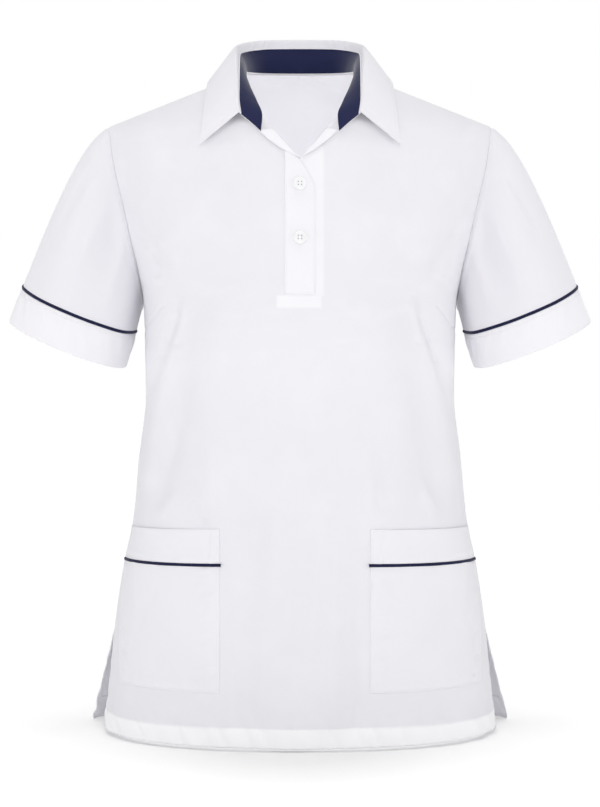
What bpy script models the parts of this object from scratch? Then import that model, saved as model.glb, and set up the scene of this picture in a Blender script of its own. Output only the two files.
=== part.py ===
"""A short-sleeved healthcare tunic in the hollow shape it has when worn.

Units are metres, +Z is up and the front faces -Y. The origin is the middle of the neck opening, level
with the point where shoulder and collar meet. The wearer's left is +X.

The front and back panels are surfaces laid through rows. A row runs from the panel's middle line, or
from the neck edge above it, out to the side seam or the armhole. What lies on a panel is made from the
panel's own points, moved out or in.
"""

import math
from collections import namedtuple

import bmesh
import bpy
import numpy as np
from mathutils import Vector

CLOTH = 0.0012
TRIM_CLOTH = 0.0010
COLLAR_CLOTH = 0.0016
SEAM_GAP = 0.0004
LAYER_GAP = 0.00035
EDGE_MARGIN = 0.012
LEAST_COLUMN = 0.02
LINE_MARGIN = 0.1

WHITE = "F4F4FA"
NAVY = "1B1F45"
BUTTON_WHITE = "F1F1F4"

# Columns of a half panel as shares of its row, and grid lines as row counts. Both are closer together
# at the seams, so that the walls meet square.
COLUMNS = (0.0, 0.1, 0.2, 0.3, 0.4, 0.5, 0.6, 0.7, 0.8, 0.9, 0.975, 1.0)
SIGNED_COLUMNS = tuple(-share for share in COLUMNS[:0:-1]) + COLUMNS
UPPER_LINES = tuple(half_row / 2.0 for half_row in range(16, 32)) + (15.9, 16.0)
FRONT_LINES = tuple(half_row / 2.0 for half_row in range(16)) + UPPER_LINES
BACK_LINES = (0.0, 0.5) + tuple(float(row) for row in range(1, 8)) + UPPER_LINES

Row = namedtuple("Row", "x_in y_in z_in x_out y_out z_out wrap_degrees squareness")

# Rows of the front panel from hem to shoulder seam.
FRONT_ROWS = (
    Row(0.0, -0.1370, -0.698, 0.2145, -0.0060, -0.696, 88, 2.30),
    Row(0.0, -0.1370, -0.640, 0.2080, -0.0030, -0.639, 89, 2.30),
    Row(0.0, -0.1350, -0.582, 0.2020, 0.0, -0.582, 90, 2.30),
    Row(0.0, -0.1310, -0.519, 0.1925, 0.0, -0.519, 90, 2.30),
    Row(0.0, -0.1270, -0.467, 0.1815, 0.0, -0.467, 90, 2.30),
    Row(0.0, -0.1230, -0.400, 0.1750, 0.0, -0.400, 90, 2.30),
    Row(0.0, -0.1240, -0.336, 0.1678, 0.0, -0.336, 90, 2.30),
    Row(0.0, -0.1310, -0.283, 0.1682, 0.0, -0.283, 90, 2.30),
    Row(0.0, -0.1370, -0.236, 0.1695, 0.0, -0.236, 90, 2.25),
    Row(0.0, -0.1350, -0.196, 0.1735, -0.0240, -0.203, 82, 2.15),
    Row(0.0, -0.1260, -0.153, 0.1820, -0.0370, -0.163, 74, 2.05),
    Row(0.0, -0.1140, -0.112, 0.1905, -0.0390, -0.124, 68, 2.00),
    Row(0.0, -0.1040, -0.0785, 0.1975, -0.0360, -0.095, 62, 2.00),
    Row(0.0190, -0.0965, -0.0575, 0.2015, -0.0310, -0.075, 58, 2.00),
    Row(0.0380, -0.0870, -0.036, 0.2040, -0.0230, -0.059, 54, 2.00),
    Row(0.0550, -0.0450, -0.005, 0.2055, -0.0125, -0.0485, 50, 2.00),
    Row(0.0600, 0.0, 0.014, 0.2060, 0.0, -0.044, 45, 2.00),
)

# Rows of the back panel from hem to shoulder seam.
BACK_ROWS = (
    Row(0.0, 0.1370, -0.698, 0.2320, 0.0440, -0.699, 74, 2.15),
    Row(0.0, 0.1340, -0.640, 0.2160, 0.0200, -0.638, 84, 2.25),
    Row(0.0, 0.1310, -0.582, 0.2020, 0.0, -0.582, 90, 2.30),
    Row(0.0, 0.1270, -0.519, 0.1925, 0.0, -0.519, 90, 2.30),
    Row(0.0, 0.1210, -0.467, 0.1815, 0.0, -0.467, 90, 2.30),
    Row(0.0, 0.1090, -0.400, 0.1750, 0.0, -0.400, 90, 2.30),
    Row(0.0, 0.1010, -0.336, 0.1678, 0.0, -0.336, 90, 2.30),
    Row(0.0, 0.1040, -0.283, 0.1682, 0.0, -0.283, 90, 2.30),
    Row(0.0, 0.1110, -0.236, 0.1695, 0.0, -0.236, 90, 2.25),
    Row(0.0, 0.1160, -0.190, 0.1735, 0.0230, -0.203, 82, 2.15),
    Row(0.0, 0.1180, -0.140, 0.1820, 0.0350, -0.163, 74, 2.05),
    Row(0.0, 0.1160, -0.088, 0.1905, 0.0370, -0.124, 68, 2.00),
    Row(0.0, 0.1080, -0.036, 0.1975, 0.0340, -0.095, 62, 2.00),
    Row(0.0, 0.0940, -0.005, 0.2015, 0.0290, -0.075, 58, 2.00),
    Row(0.0, 0.0760, 0.0145, 0.2040, 0.0220, -0.059, 54, 2.00),
    Row(0.0480, 0.0500, 0.0145, 0.2055, 0.0120, -0.0485, 50, 2.00),
    Row(0.0600, 0.0, 0.014, 0.2060, 0.0, -0.044, 45, 2.00),
)

VENT_TOP_ROW = 2
UNDERARM_ROW = 8
SLIT_ROW = 12
SLIT_END_ROW = 14
SHOULDER_ROW = 16

# A soft fold runs from its first point to its second. Height is negative for a trough.
Fold = namedtuple("Fold", "x_start z_start x_end z_end half_width height")

FRONT_FOLDS = (
    Fold(-0.172, -0.080, -0.125, -0.175, 0.020, 0.0040),
    Fold(0.170, -0.085, 0.128, -0.165, 0.019, 0.0034),
    Fold(-0.120, -0.245, -0.150, -0.385, 0.026, -0.0050),
    Fold(0.122, -0.240, 0.154, -0.400, 0.027, -0.0056),
    Fold(-0.092, -0.260, -0.100, -0.430, 0.022, 0.0034),
    Fold(0.096, -0.270, 0.090, -0.445, 0.023, 0.0038),
    Fold(-0.060, -0.470, -0.052, -0.660, 0.020, -0.0030),
    Fold(0.058, -0.480, 0.066, -0.670, 0.019, -0.0034),
    Fold(-0.018, -0.420, -0.010, -0.690, 0.024, 0.0026),
)

BACK_FOLDS = (
    Fold(-0.120, -0.110, -0.060, -0.260, 0.022, 0.0036),
    Fold(0.126, -0.100, 0.070, -0.240, 0.021, 0.0032),
    Fold(-0.078, -0.270, -0.066, -0.420, 0.022, -0.0046),
    Fold(0.074, -0.262, 0.070, -0.400, 0.023, -0.0050),
    Fold(-0.120, -0.420, -0.140, -0.680, 0.026, 0.0044),
    Fold(0.116, -0.440, 0.132, -0.690, 0.025, 0.0040),
    Fold(0.012, -0.430, 0.004, -0.690, 0.027, 0.0036),
)


# The sleeve leaves the armhole by a short reach and falls to its hem ring. Reach and fall are given as
# a mean and the part added at the shoulder and taken away under the arm.
SLEEVE_HEM_CENTRE = (0.2526, 0.0, -0.2785)
SLEEVE_HEM_HALF_WIDTH = 0.068
SLEEVE_HEM_HALF_DEPTH = 0.059
SLEEVE_HEM_TILT = 0.09
SLEEVE_LEAN_DEGREES = 21.8
SLEEVE_REACH = (0.025, 0.010)
SLEEVE_FALL = (0.0675, 0.0425)
SLEEVE_SHARES = (0.0, 0.03, 0.18, 0.35, 0.51, 0.68, 0.84, 1.0)
SLEEVE_SAMPLES = 25
SLEEVE_SEAM_GAP = 0.0006
SLEEVE_BAND_DEPTH = 0.0385
BAND_RISE = 0.0003

SleeveFold = namedtuple("SleeveFold", "degrees s_start s_end half_degrees height")

SLEEVE_FOLDS_LEFT = (
    SleeveFold(60, 0.15, 0.95, 16, 0.0034),
    SleeveFold(100, 0.10, 0.80, 15, -0.0040),
    SleeveFold(140, 0.20, 1.00, 16, 0.0036),
    SleeveFold(235, 0.15, 0.95, 18, -0.0036),
    SleeveFold(290, 0.20, 0.90, 17, 0.0034),
)

SLEEVE_FOLDS_RIGHT = (
    SleeveFold(52, 0.20, 0.90, 15, 0.0030),
    SleeveFold(92, 0.10, 0.90, 16, -0.0036),
    SleeveFold(132, 0.15, 1.00, 17, 0.0040),
    SleeveFold(225, 0.20, 0.90, 17, -0.0034),
    SleeveFold(284, 0.15, 0.95, 18, 0.0036),
)

PIPING_WIDTH = 0.0034
PIPING_RISE = 0.0007
PIPING_OVERHANG = 0.0015

# Stations of the collar's left half, from the middle of the back to the front end. Each holds the
# neck seam, the top of the stand, the crest of the roll and the outer edge of the fall as x, y, z.
COLLAR_STATIONS = (
    (0.0, 0.0760, 0.0162, 0.0, 0.0800, 0.0438, 0.0, 0.0840, 0.0532, 0.0, 0.0980, 0.0080),
    (0.0330, 0.0680, 0.0162, 0.0345, 0.0730, 0.0430, 0.0365, 0.0775, 0.0524, 0.0460, 0.0900, 0.0070),
    (0.0515, 0.0440, 0.0160, 0.0575, 0.0475, 0.0392, 0.0608, 0.0505, 0.0482, 0.0820, 0.0590, 0.0060),
    (0.0583, 0.0140, 0.0158, 0.0655, 0.0150, 0.0348, 0.0690, 0.0155, 0.0428, 0.0985, 0.0120, 0.0050),
    (0.0578, -0.0160, 0.0102, 0.0660, -0.0170, 0.0285, 0.0690, -0.0180, 0.0355, 0.1005, -0.0240, -0.0055),
    (0.0535, -0.0450, -0.0020, 0.0655, -0.0450, 0.0140, 0.0680, -0.0470, 0.0195, 0.1020, -0.0600, -0.0250),
    (0.0455, -0.0740, -0.0190, 0.0645, -0.0710, -0.0055, 0.0665, -0.0740, -0.0015, 0.1035, -0.0800, -0.0420),
    (0.0393, -0.0905, -0.0345, 0.0638, -0.0840, -0.0195, 0.0656, -0.0870, -0.0165, 0.1045, -0.0880, -0.0545),
    (0.0408, -0.0970, -0.0505, 0.0620, -0.0925, -0.0325, 0.0635, -0.0950, -0.0305, 0.1053, -0.0905, -0.0640),
)
COLLAR_COLUMNS_PER_STATION = 2
FALL_LINES = (0.0, 0.5, 1.0, 1.4, 2.0, 3.0)
FALL_SEAM_GAP = 0.0012
FALL_BOW = 0.0025

PLACKET_HALF_WIDTH = 0.0161
PLACKET_BOTTOM_Z = -0.220
PLACKET_TOP_LINE = 12.1
PLACKET_RIGHT_Z = (-0.106, -0.093, -0.078, -0.0735)
PLACKET_RIGHT_X = (0.0158, 0.0092, -0.0012, -0.0085)
UNDER_PLACKET_X = 0.021
SLIT_LINES = (12.1, 12.25, 12.5, 13.0, 13.45)
SLIT_WIDTHS_LEFT = (0.0010, 0.0035, 0.0065, 0.0095, 0.0110)
SLIT_WIDTHS_RIGHT = (0.0010, 0.0045, 0.0095, 0.0130, 0.0150)
SLIT_INSET = 0.0002
SLIT_TURN_RISE = 0.0012

POCKET_INNER_X = {"left": 0.0740, "right": 0.0845}
POCKET_OUTER_DROP = 0.14
POCKET_OUTER_SHARES = (0.755, 0.930)
POCKET_TOP_Z = -0.467
POCKET_BOTTOM_Z = -0.6400
POCKET_PIPING_Z = -0.505
POCKET_FULLNESS = 0.0012
POCKET_GAP = 0.0006
PANEL_ROW_LENGTH = 0.250

HEM_DEPTH = 0.021
HEM_GAP = 0.0006
HEM_EDGE_LINE = 0.005
HEM_END_SHARE = 0.996
VENT_HEM_SHARE = 0.955

BUTTON_HEIGHTS = (-0.104, -0.161)
BUTTON_RADIUS = 0.0071
BUTTON_THICKNESS = 0.0026
BUTTON_DISH = 0.0007
BUTTON_SIDES = 20
BUTTON_HOLE_RADIUS = 0.0009
BUTTON_HOLE_SPREAD = 0.0016
BUTTON_TILT_CLEARANCE = 0.0003


def slope_between(before, after):
    """The slope at a row from the steps on its two sides, level where they point opposite ways."""
    product = before * after
    total = np.where(product > 0.0, before + after, 1.0)
    return np.where(product > 0.0, 2.0 * product / total, 0.0)


def through_rows(table, t):
    """A smooth curve through a table's rows that never passes their values; t counts rows."""
    values = np.asarray(table, dtype=float)
    steps = np.diff(values, axis=0)
    start = int(min(max(math.floor(t), 0), len(steps) - 1))
    f = t - start
    step = steps[start]
    slope_1 = slope_between(steps[start - 1], step) if start > 0 else step
    slope_2 = slope_between(step, steps[start + 1]) if start + 1 < len(steps) else step
    return (values[start] + step * f * f * (3.0 - 2.0 * f)
            + slope_1 * f * (1.0 - f) ** 2 - slope_2 * f * f * (1.0 - f))


def smooth_step(value):
    clamped = min(max(value, 0.0), 1.0)
    return clamped * clamped * (3.0 - 2.0 * clamped)


def row_point(row, side, u):
    """The point at share u of a row, from its inner end to its outer end."""
    wrap = math.radians(row.wrap_degrees)
    angle = u * wrap
    power = 2.0 / row.squareness
    across = (math.sin(angle) / math.sin(wrap)) ** power
    depth = max((math.cos(angle) - math.cos(wrap)) / (1.0 - math.cos(wrap)), 0.0) ** power
    x = row.x_in + (row.x_out - row.x_in) * across
    y = row.y_out + (row.y_in - row.y_out) * depth
    z = row.z_in + (row.z_out - row.z_in) * across
    return np.array((side * x, y, z))


def fold_height(folds, x, z):
    """Sum of the folds' heights at a place seen from the front."""
    total = 0.0
    for fold in folds:
        start = np.array((fold.x_start, fold.z_start))
        run = np.array((fold.x_end, fold.z_end)) - start
        place = np.array((x, z)) - start
        along = float(place @ run / (run @ run))
        beside = float(np.linalg.norm(place - run * min(max(along, 0.0), 1.0)))
        total += fold.height * math.exp(-(beside / fold.half_width) ** 2)
    return total


def cell(lines, value):
    """The interval of a rising list that holds a value, and the value's share of it."""
    clamped = min(max(value, lines[0]), lines[-1])
    i = int(min(np.searchsorted(lines, clamped, side="right") - 1, len(lines) - 2))
    return i, (clamped - lines[i]) / (lines[i + 1] - lines[i])


class Panel:
    """A cloth panel: its rows, its folds and the grid of points that its mesh is made of.

    The row before the last of the panel behind the shoulder seam comes last in its table, so that the
    cloth runs over the seam in one curve.
    """

    def __init__(self, rows, row_beyond, lines, folds, facing):
        self.rows = rows + (row_beyond,)
        self.lines = lines
        self.folds = folds
        self.facing = facing
        self.points = {side: self._grid(side) for side in (-1, 1)}
        self.normals = {side: self._normals(side) for side in (-1, 1)}

    def row(self, t):
        """The row at t. The neck slit's edge is straight from row to row."""
        row = Row(*through_rows(self.rows, t))
        if self.facing < 0 and SLIT_ROW < t < SLIT_END_ROW:
            start = int(t)
            ends = np.array((self.rows[start][:3], self.rows[start + 1][:3]))
            x_in, y_in, z_in = ends[0] + (ends[1] - ends[0]) * (t - start)
            row = row._replace(x_in=x_in, y_in=y_in, z_in=z_in)
        return row

    def smooth_point(self, side, u, t):
        """The panel's surface with its folds, which fade out towards the seams."""
        step = 0.01
        row = self.row(t)
        point = row_point(row, side, u)
        u_step = step if u < 0.5 else -step
        t_step = step if t < SHOULDER_ROW / 2 else -step
        along_u = (row_point(row, side, u + u_step) - point) / u_step
        along_t = (row_point(self.row(t + t_step), side, u) - point) / t_step
        normal = np.cross(along_u, along_t) * side * -self.facing
        if u == 0.0 and row.x_in == 0.0:
            normal[0] = 0.0
        normal /= np.linalg.norm(normal)
        fade = (1.0 - u ** 6) * smooth_step((SHOULDER_ROW - t) / 3.0)
        return point + normal * fold_height(self.folds, point[0], point[2]) * fade

    def _grid(self, side):
        return np.array([[self.smooth_point(side, u, t) for u in COLUMNS] for t in self.lines])

    def _normals(self, side):
        along_t, along_u = np.gradient(self.points[side], axis=(0, 1))
        normals = np.cross(along_u, along_t) * side * -self.facing
        joined = [self.row(t).x_in == 0.0 for t in self.lines]
        normals[joined, 0, 0] = 0.0
        return normals / np.linalg.norm(normals, axis=2, keepdims=True)

    def at(self, s, t, lift=0.0):
        """The point on the panel's flat faces at signed share s of row t, moved out by lift."""
        side = -1 if s < 0.0 else 1
        i, right = cell(COLUMNS, abs(s))
        j, above = cell(self.lines, t)
        weight = np.array((1.0 - above, above))[:, None] * np.array((1.0 - right, right))
        point = (self.points[side][j:j + 2, i:i + 2] * weight[:, :, None]).sum(axis=(0, 1))
        normal = (self.normals[side][j:j + 2, i:i + 2] * weight[:, :, None]).sum(axis=(0, 1))
        return point + normal / np.linalg.norm(normal) * lift

    def share(self, x, t):
        """The signed share s at which row t passes x."""
        row = self.row(t)
        wrap = math.radians(row.wrap_degrees)
        across = min(max((abs(x) - row.x_in) / (row.x_out - row.x_in), 0.0), 1.0)
        angle = math.asin(min(across ** (row.squareness / 2.0) * math.sin(wrap), 1.0))
        return math.copysign(angle / wrap, x)

    def line_of(self, x, z):
        """The row count t at which the panel passes x and z."""
        low = 0.0
        high = float(SHOULDER_ROW)
        for _ in range(40):
            middle = (low + high) / 2.0
            s = self.share(x, middle)
            if row_point(self.row(middle), 1, abs(s))[2] < z:
                low = middle
            else:
                high = middle
        return (low + high) / 2.0


def lines_between(first, last, panel):
    """A piece's own lower and upper lines and the panel's lines between them."""
    between = [line for line in panel.lines if first + LINE_MARGIN < line < last - LINE_MARGIN]
    return [first] + between + [last]


def hex_colour(code):
    """A colour written as six sRGB digits, as linear values."""
    channels = [int(code[i:i + 2], 16) / 255.0 for i in (0, 2, 4)]
    linear = [c / 12.92 if c <= 0.04045 else ((c + 0.055) / 1.055) ** 2.4 for c in channels]
    return (*linear, 1.0)


def material(name, colour, roughness):
    made = bpy.data.materials.new(name)
    made.use_nodes = True
    shader = made.node_tree.nodes["Principled BSDF"]
    shader.inputs["Base Color"].default_value = hex_colour(colour)
    shader.inputs["Roughness"].default_value = roughness
    shader.inputs["Metallic"].default_value = 0.0
    made.diffuse_color = hex_colour(colour)
    return made


def add_object(name, mesh, colour, roughness=0.85):
    made = bpy.data.objects.new(name, mesh)
    mesh.materials.append(material(name + "_material", colour, roughness))
    bpy.data.collections["tunic"].objects.link(made)
    return made


def lay_grid(bm, columns, rows, place):
    """Add a grid to a mesh and move each of its points to place(column, row)."""
    made = bmesh.ops.create_grid(bm, x_segments=columns, y_segments=rows, size=0.5)
    for vert in made["verts"]:
        i = round((vert.co.x + 0.5) * columns)
        j = round((vert.co.y + 0.5) * rows)
        vert.co = Vector(place(i, j))


def cloth(name, grids, colour, thickness=CLOTH, offset=-1.0):
    """A wall of cloth over one or more grids, each given as (columns, rows, place)."""
    bm = bmesh.new()
    for columns, rows, place in grids:
        lay_grid(bm, columns, rows, place)
    bmesh.ops.remove_doubles(bm, verts=bm.verts, dist=0.00001)
    mesh = bpy.data.meshes.new(name)
    bm.to_mesh(mesh)
    bm.free()
    mesh.shade_smooth()
    made = add_object(name, mesh, colour)
    wall = made.modifiers.new("wall", "SOLIDIFY")
    wall.thickness = thickness
    wall.offset = offset
    return made


def no_drop(across, t):
    return 0.0


def patch(name, panel, edges, lines, lift, colour, thickness=TRIM_CLOTH, offset=-1.0, drop=no_drop):
    """A piece lying on a panel between two edges.

    edges(t) gives the shares of its two edges on row t and lift(across, along) its height over the
    panel, both counted from 0 to 1. drop(across, t) lowers its lines. It has a column on each of the
    panel's own, pressed together where the piece is too narrow for them.
    """
    spans = [edges(t) for t in lines]
    low = min(span[0] for span in spans) + EDGE_MARGIN
    high = max(span[1] for span in spans) - EDGE_MARGIN
    inner = [share for share in SIGNED_COLUMNS if low < share < high]
    count = len(inner) + 1

    def place(i, j):
        t = lines[j]
        first, last = edges(t)
        least = (last - first) * LEAST_COLUMN
        share = first if i == 0 else last if i == count else inner[i - 1]
        share = min(max(share, first + i * least), last - (count - i) * least)
        across = (share - first) / (last - first)
        return panel.at(share, t - drop(across, t), lift(across, j / (len(lines) - 1)))

    return cloth(name, [(count, len(lines) - 1, place)], colour, thickness, offset)


def body_panel(name, panel, seam_shift):
    """The two halves of a panel, joined on the middle line and pulled back from the seams."""
    last_column = len(COLUMNS) - 1
    last_line = len(panel.lines) - 1

    def half(side):
        def place(i, j):
            column = i if side > 0 else last_column - i
            point = panel.points[side][j][column].copy()
            if column == last_column or j == last_line:
                point[1] += seam_shift
            return point
        return last_column, last_line, place

    return cloth(name, [half(-1), half(1)], WHITE, offset=-1.0 if panel.facing < 0 else 1.0)


def sleeve_ring(front, back, side):
    """The armhole's points, from the shoulder down the front to the underarm and up the back."""
    first = front.lines.index(float(UNDERARM_ROW))
    front_edge = [front.points[side][j][-1] for j in range(len(front.lines) - 1, first, -1)]
    first = back.lines.index(float(UNDERARM_ROW))
    back_edge = [back.points[side][j][-1] for j in range(first, len(back.lines) - 1)]
    return np.array(front_edge + back_edge)


class Sleeve:
    """A short set-in sleeve: a tube from the armhole to a level hem ring."""

    def __init__(self, armhole, side, folds):
        self.armhole = armhole
        self.side = side
        self.folds = folds
        steps = np.linalg.norm(np.roll(armhole, -1, axis=0) - armhole, axis=1)
        self.angles = 2.0 * math.pi * np.concatenate(([0.0], np.cumsum(steps)[:-1])) / steps.sum()

    def mirrored(self, x, y, z):
        return np.array((self.side * x, y, z))

    def point(self, i, s):
        """The point on line i at share s of the way from armhole to hem."""
        i = i % len(self.armhole)
        angle = self.angles[i]
        top = math.cos(angle)
        fore = math.sin(angle)
        start = self.armhole[i]
        leave = self.mirrored(0.665 + 0.265 * top, -0.25 * fore, -0.645 + 0.275 * top)
        leave /= np.linalg.norm(leave)
        start = start + leave * SLEEVE_SEAM_GAP
        lean = math.radians(SLEEVE_LEAN_DEGREES)
        arrive = self.mirrored(math.sin(lean), 0.0, -math.cos(lean))
        across = self.mirrored(math.cos(lean), 0.0, math.sin(lean)) * SLEEVE_HEM_HALF_WIDTH
        forward = np.array((0.0, -1.0, -SLEEVE_HEM_TILT)) * SLEEVE_HEM_HALF_DEPTH
        end = self.mirrored(*SLEEVE_HEM_CENTRE) + across * top + forward * fore
        bend_1 = start + leave * (SLEEVE_REACH[0] + SLEEVE_REACH[1] * top)
        bend_2 = end - arrive * (SLEEVE_FALL[0] + SLEEVE_FALL[1] * top)
        point = (start * (1.0 - s) ** 3 + bend_1 * 3.0 * s * (1.0 - s) ** 2
                 + bend_2 * 3.0 * s * s * (1.0 - s) + end * s ** 3)
        outward = (across / SLEEVE_HEM_HALF_WIDTH) * top + np.array((0.0, -1.0, 0.0)) * fore
        return point + outward * self.fold_height(math.degrees(angle), s)

    def along(self, i, from_armhole=0.0, from_hem=None):
        """The point on line i at a share of its length, or at a distance up from the hem."""
        shares = np.linspace(0.0, 1.0, SLEEVE_SAMPLES)
        points = np.array([self.point(i, s) for s in shares])
        lengths = np.concatenate(([0.0], np.cumsum(np.linalg.norm(np.diff(points, axis=0), axis=1))))
        seam = lengths[-1] - SLEEVE_BAND_DEPTH - PIPING_WIDTH - 2.0 * SEAM_GAP
        reach = seam * from_armhole if from_hem is None else lengths[-1] - from_hem
        return self.point(i, float(np.interp(reach, lengths, shares)))

    def fold_height(self, degrees, s):
        total = 0.0
        for fold in self.folds:
            turn = (degrees - fold.degrees + 180.0) % 360.0 - 180.0
            middle = (fold.s_start + fold.s_end) / 2.0
            length = (fold.s_end - fold.s_start) / 2.0
            fade = math.exp(-((s - middle) / length) ** 4) * smooth_step(s / 0.25)
            total += fold.height * math.exp(-(turn / fold.half_degrees) ** 2) * fade
        return total


def sleeve_wall(name, sleeve, places, colour, thickness=CLOTH, rises=None):
    """A ring of cloth through the given places along the sleeve, each moved out by its rise."""
    count = len(sleeve.armhole)
    lean = math.radians(SLEEVE_LEAN_DEGREES)
    across = sleeve.mirrored(math.cos(lean), 0.0, math.sin(lean))

    def place(i, j):
        line = i if sleeve.side > 0 else count - i
        angle = sleeve.angles[line % count]
        outward = across * math.cos(angle) + np.array((0.0, -1.0, 0.0)) * math.sin(angle)
        rise = rises[j] if rises else 0.0
        return sleeve.along(line, **places[j]) + outward * rise

    return cloth(name, [(count, len(places) - 1, place)], colour, thickness)


def add_sleeve(name, sleeve):
    """A sleeve, its piping and its turned-up band, each ending just short of the next."""
    upper = [{"from_armhole": share} for share in SLEEVE_SHARES]
    sleeve_wall("sleeve_" + name, sleeve, upper, WHITE)
    low = SLEEVE_BAND_DEPTH + SEAM_GAP
    piping = [{"from_hem": low + PIPING_WIDTH * share} for share in (1.0, 0.5, 0.0)]
    sleeve_wall("sleeve_piping_" + name, sleeve, piping, NAVY, CLOTH + PIPING_RISE,
                (PIPING_RISE / 2.0, PIPING_RISE, PIPING_RISE / 2.0))
    band = [{"from_hem": SLEEVE_BAND_DEPTH * share} for share in (1.0, 0.5, 0.0)]
    sleeve_wall("sleeve_band_" + name, sleeve, band, WHITE, CLOTH + BAND_RISE, (BAND_RISE,) * 3)


def collar_stations():
    """The collar's stations from the right front end round the back to the left one."""
    left = np.array(COLLAR_STATIONS)
    right = left[:0:-1].copy()
    right[:, 0::3] *= -1.0
    return np.vstack((right, left))


def collar_wall(name, rows, colour, thickness, offset):
    """A wall along the collar; rows(station) gives its points from inner to outer edge."""
    stations = collar_stations()
    columns = (len(stations) - 1) * COLLAR_COLUMNS_PER_STATION
    rows_at = [rows(through_rows(stations, i / COLLAR_COLUMNS_PER_STATION)) for i in range(columns + 1)]

    def place(i, j):
        return rows_at[i][j]

    return cloth(name, [(columns, len(rows_at[0]) - 1, place)], colour, thickness, offset)


def stand_rows(station):
    """The stand from its neck seam to its top, with a little hollow between."""
    seam = station[0:3]
    top = station[3:6]
    crest = station[6:9]
    hollow = (seam + top) / 2.0 - (crest - top) * np.array((0.35, 0.35, 0.0))
    return [seam, hollow, top]


def fall_rows(station):
    """The fall from the top of the stand over its crest and down to its outer edge."""
    top = station[3:6]
    crest = station[6:9]
    edge = station[9:12]
    start = top + (crest - top) / np.linalg.norm(crest - top) * FALL_SEAM_GAP
    run = edge - crest
    steepness = abs(run[2]) / np.linalg.norm(run)
    bow = np.array((run[0], run[1], 0.0)) / np.linalg.norm(run[:2]) * FALL_BOW * steepness ** 4
    control = [start, crest, (crest + edge) / 2.0 + bow, edge]
    return [through_rows(control, t) for t in FALL_LINES]


def add_collar():
    """The navy and white layers of the stand lie back to back, and the fall sits on both."""
    half_gap = LAYER_GAP / 2.0
    collar_wall("collar_stand", stand_rows, WHITE, TRIM_CLOTH, -1.0 - 2.0 * half_gap / TRIM_CLOTH)
    collar_wall("collar_stand_navy", stand_rows, NAVY, TRIM_CLOTH, 1.0 + 2.0 * half_gap / TRIM_CLOTH)
    collar_wall("collar_fall", fall_rows, WHITE, COLLAR_CLOTH, 0.0)


def placket_edges(panel):
    """The over placket's left edge and its right edge, which turns aside at the neck slit."""
    def edges(t):
        z = panel.row(t).z_in
        right = float(np.interp(z, PLACKET_RIGHT_Z, PLACKET_RIGHT_X))
        return panel.share(-PLACKET_HALF_WIDTH, t), panel.share(right, t)
    return edges


def flat_lift(across, along):
    return LAYER_GAP + TRIM_CLOTH


def inside_lift(across, along):
    return -CLOTH - LAYER_GAP - TRIM_CLOTH


def add_placket(panel):
    """The over placket outside, the under placket inside and the slit's two turned edges."""
    bottom = panel.line_of(0.0, PLACKET_BOTTOM_Z)
    lines = lines_between(bottom, float(SLIT_ROW), panel)[:-1] + [11.75, PLACKET_TOP_LINE]
    patch("placket_over", panel, placket_edges(panel), lines, flat_lift, WHITE)

    def under_edges(t):
        return panel.share(-PLACKET_HALF_WIDTH, t), panel.share(UNDER_PLACKET_X, t)

    patch("placket_under", panel, under_edges, lines_between(bottom, SLIT_ROW - 0.1, panel),
          inside_lift, WHITE, offset=1.0)
    for name, side, widths in (("left", 1, SLIT_WIDTHS_LEFT), ("right", -1, SLIT_WIDTHS_RIGHT)):
        def slit_edges(t, side=side, widths=widths):
            width = float(np.interp(t, SLIT_LINES, widths))
            near = side * panel.share(panel.row(t).x_in + SLIT_INSET, t)
            far = side * panel.share(panel.row(t).x_in + SLIT_INSET + width, t)
            return min(near, far), max(near, far)

        def slit_lift(across, along, side=side):
            outer = across if side > 0 else 1.0 - across
            return LAYER_GAP + TRIM_CLOTH + SLIT_TURN_RISE * outer

        patch("slit_edge_" + name, panel, slit_edges, SLIT_LINES, slit_lift, WHITE)


def add_pocket(panel, name, side):
    """A patch pocket, its piping and its top band, lying on the front panel."""
    inner_x = POCKET_INNER_X[name]
    bottom = panel.line_of(inner_x, POCKET_BOTTOM_Z)
    top = panel.line_of(inner_x, POCKET_TOP_Z)
    piping_low = panel.line_of(inner_x, POCKET_PIPING_Z - PIPING_WIDTH / 2.0)
    piping_high = panel.line_of(inner_x, POCKET_PIPING_Z + PIPING_WIDTH / 2.0)
    gap = (piping_high - piping_low) * SEAM_GAP / PIPING_WIDTH

    def edges_past(reach):
        def edges(t):
            share = (t - bottom) / (top - bottom)
            outer = POCKET_OUTER_SHARES[0] + (POCKET_OUTER_SHARES[1] - POCKET_OUTER_SHARES[0]) * share
            inner = panel.share(inner_x - reach, t)
            far = outer + reach / PANEL_ROW_LENGTH
            return (inner, far) if side > 0 else (-far, -inner)
        return edges

    def drop(across, t):
        outward = across if side > 0 else 1.0 - across
        return POCKET_OUTER_DROP * outward * (t - bottom) / (top - bottom)

    def full_lift(across, along):
        return POCKET_GAP + TRIM_CLOTH + POCKET_FULLNESS * math.sin(math.pi * across) * along

    def band_lift(across, along):
        return POCKET_GAP + TRIM_CLOTH + POCKET_FULLNESS * math.sin(math.pi * across)

    def piping_lift(across, along):
        rise = PIPING_RISE if 0.2 < along < 0.8 else PIPING_RISE / 2.0
        return band_lift(across, along) + rise

    patch("pocket_" + name, panel, edges_past(0.0), lines_between(bottom, piping_low - gap, panel),
          full_lift, WHITE, drop=drop)
    patch("pocket_piping_" + name, panel, edges_past(PIPING_OVERHANG),
          [piping_low, (piping_low + piping_high) / 2.0, piping_high], piping_lift, NAVY,
          TRIM_CLOTH + PIPING_RISE / 2.0, drop=drop)
    patch("pocket_band_" + name, panel, edges_past(0.0), lines_between(piping_high + gap, top, panel),
          band_lift, WHITE, drop=drop)


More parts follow.
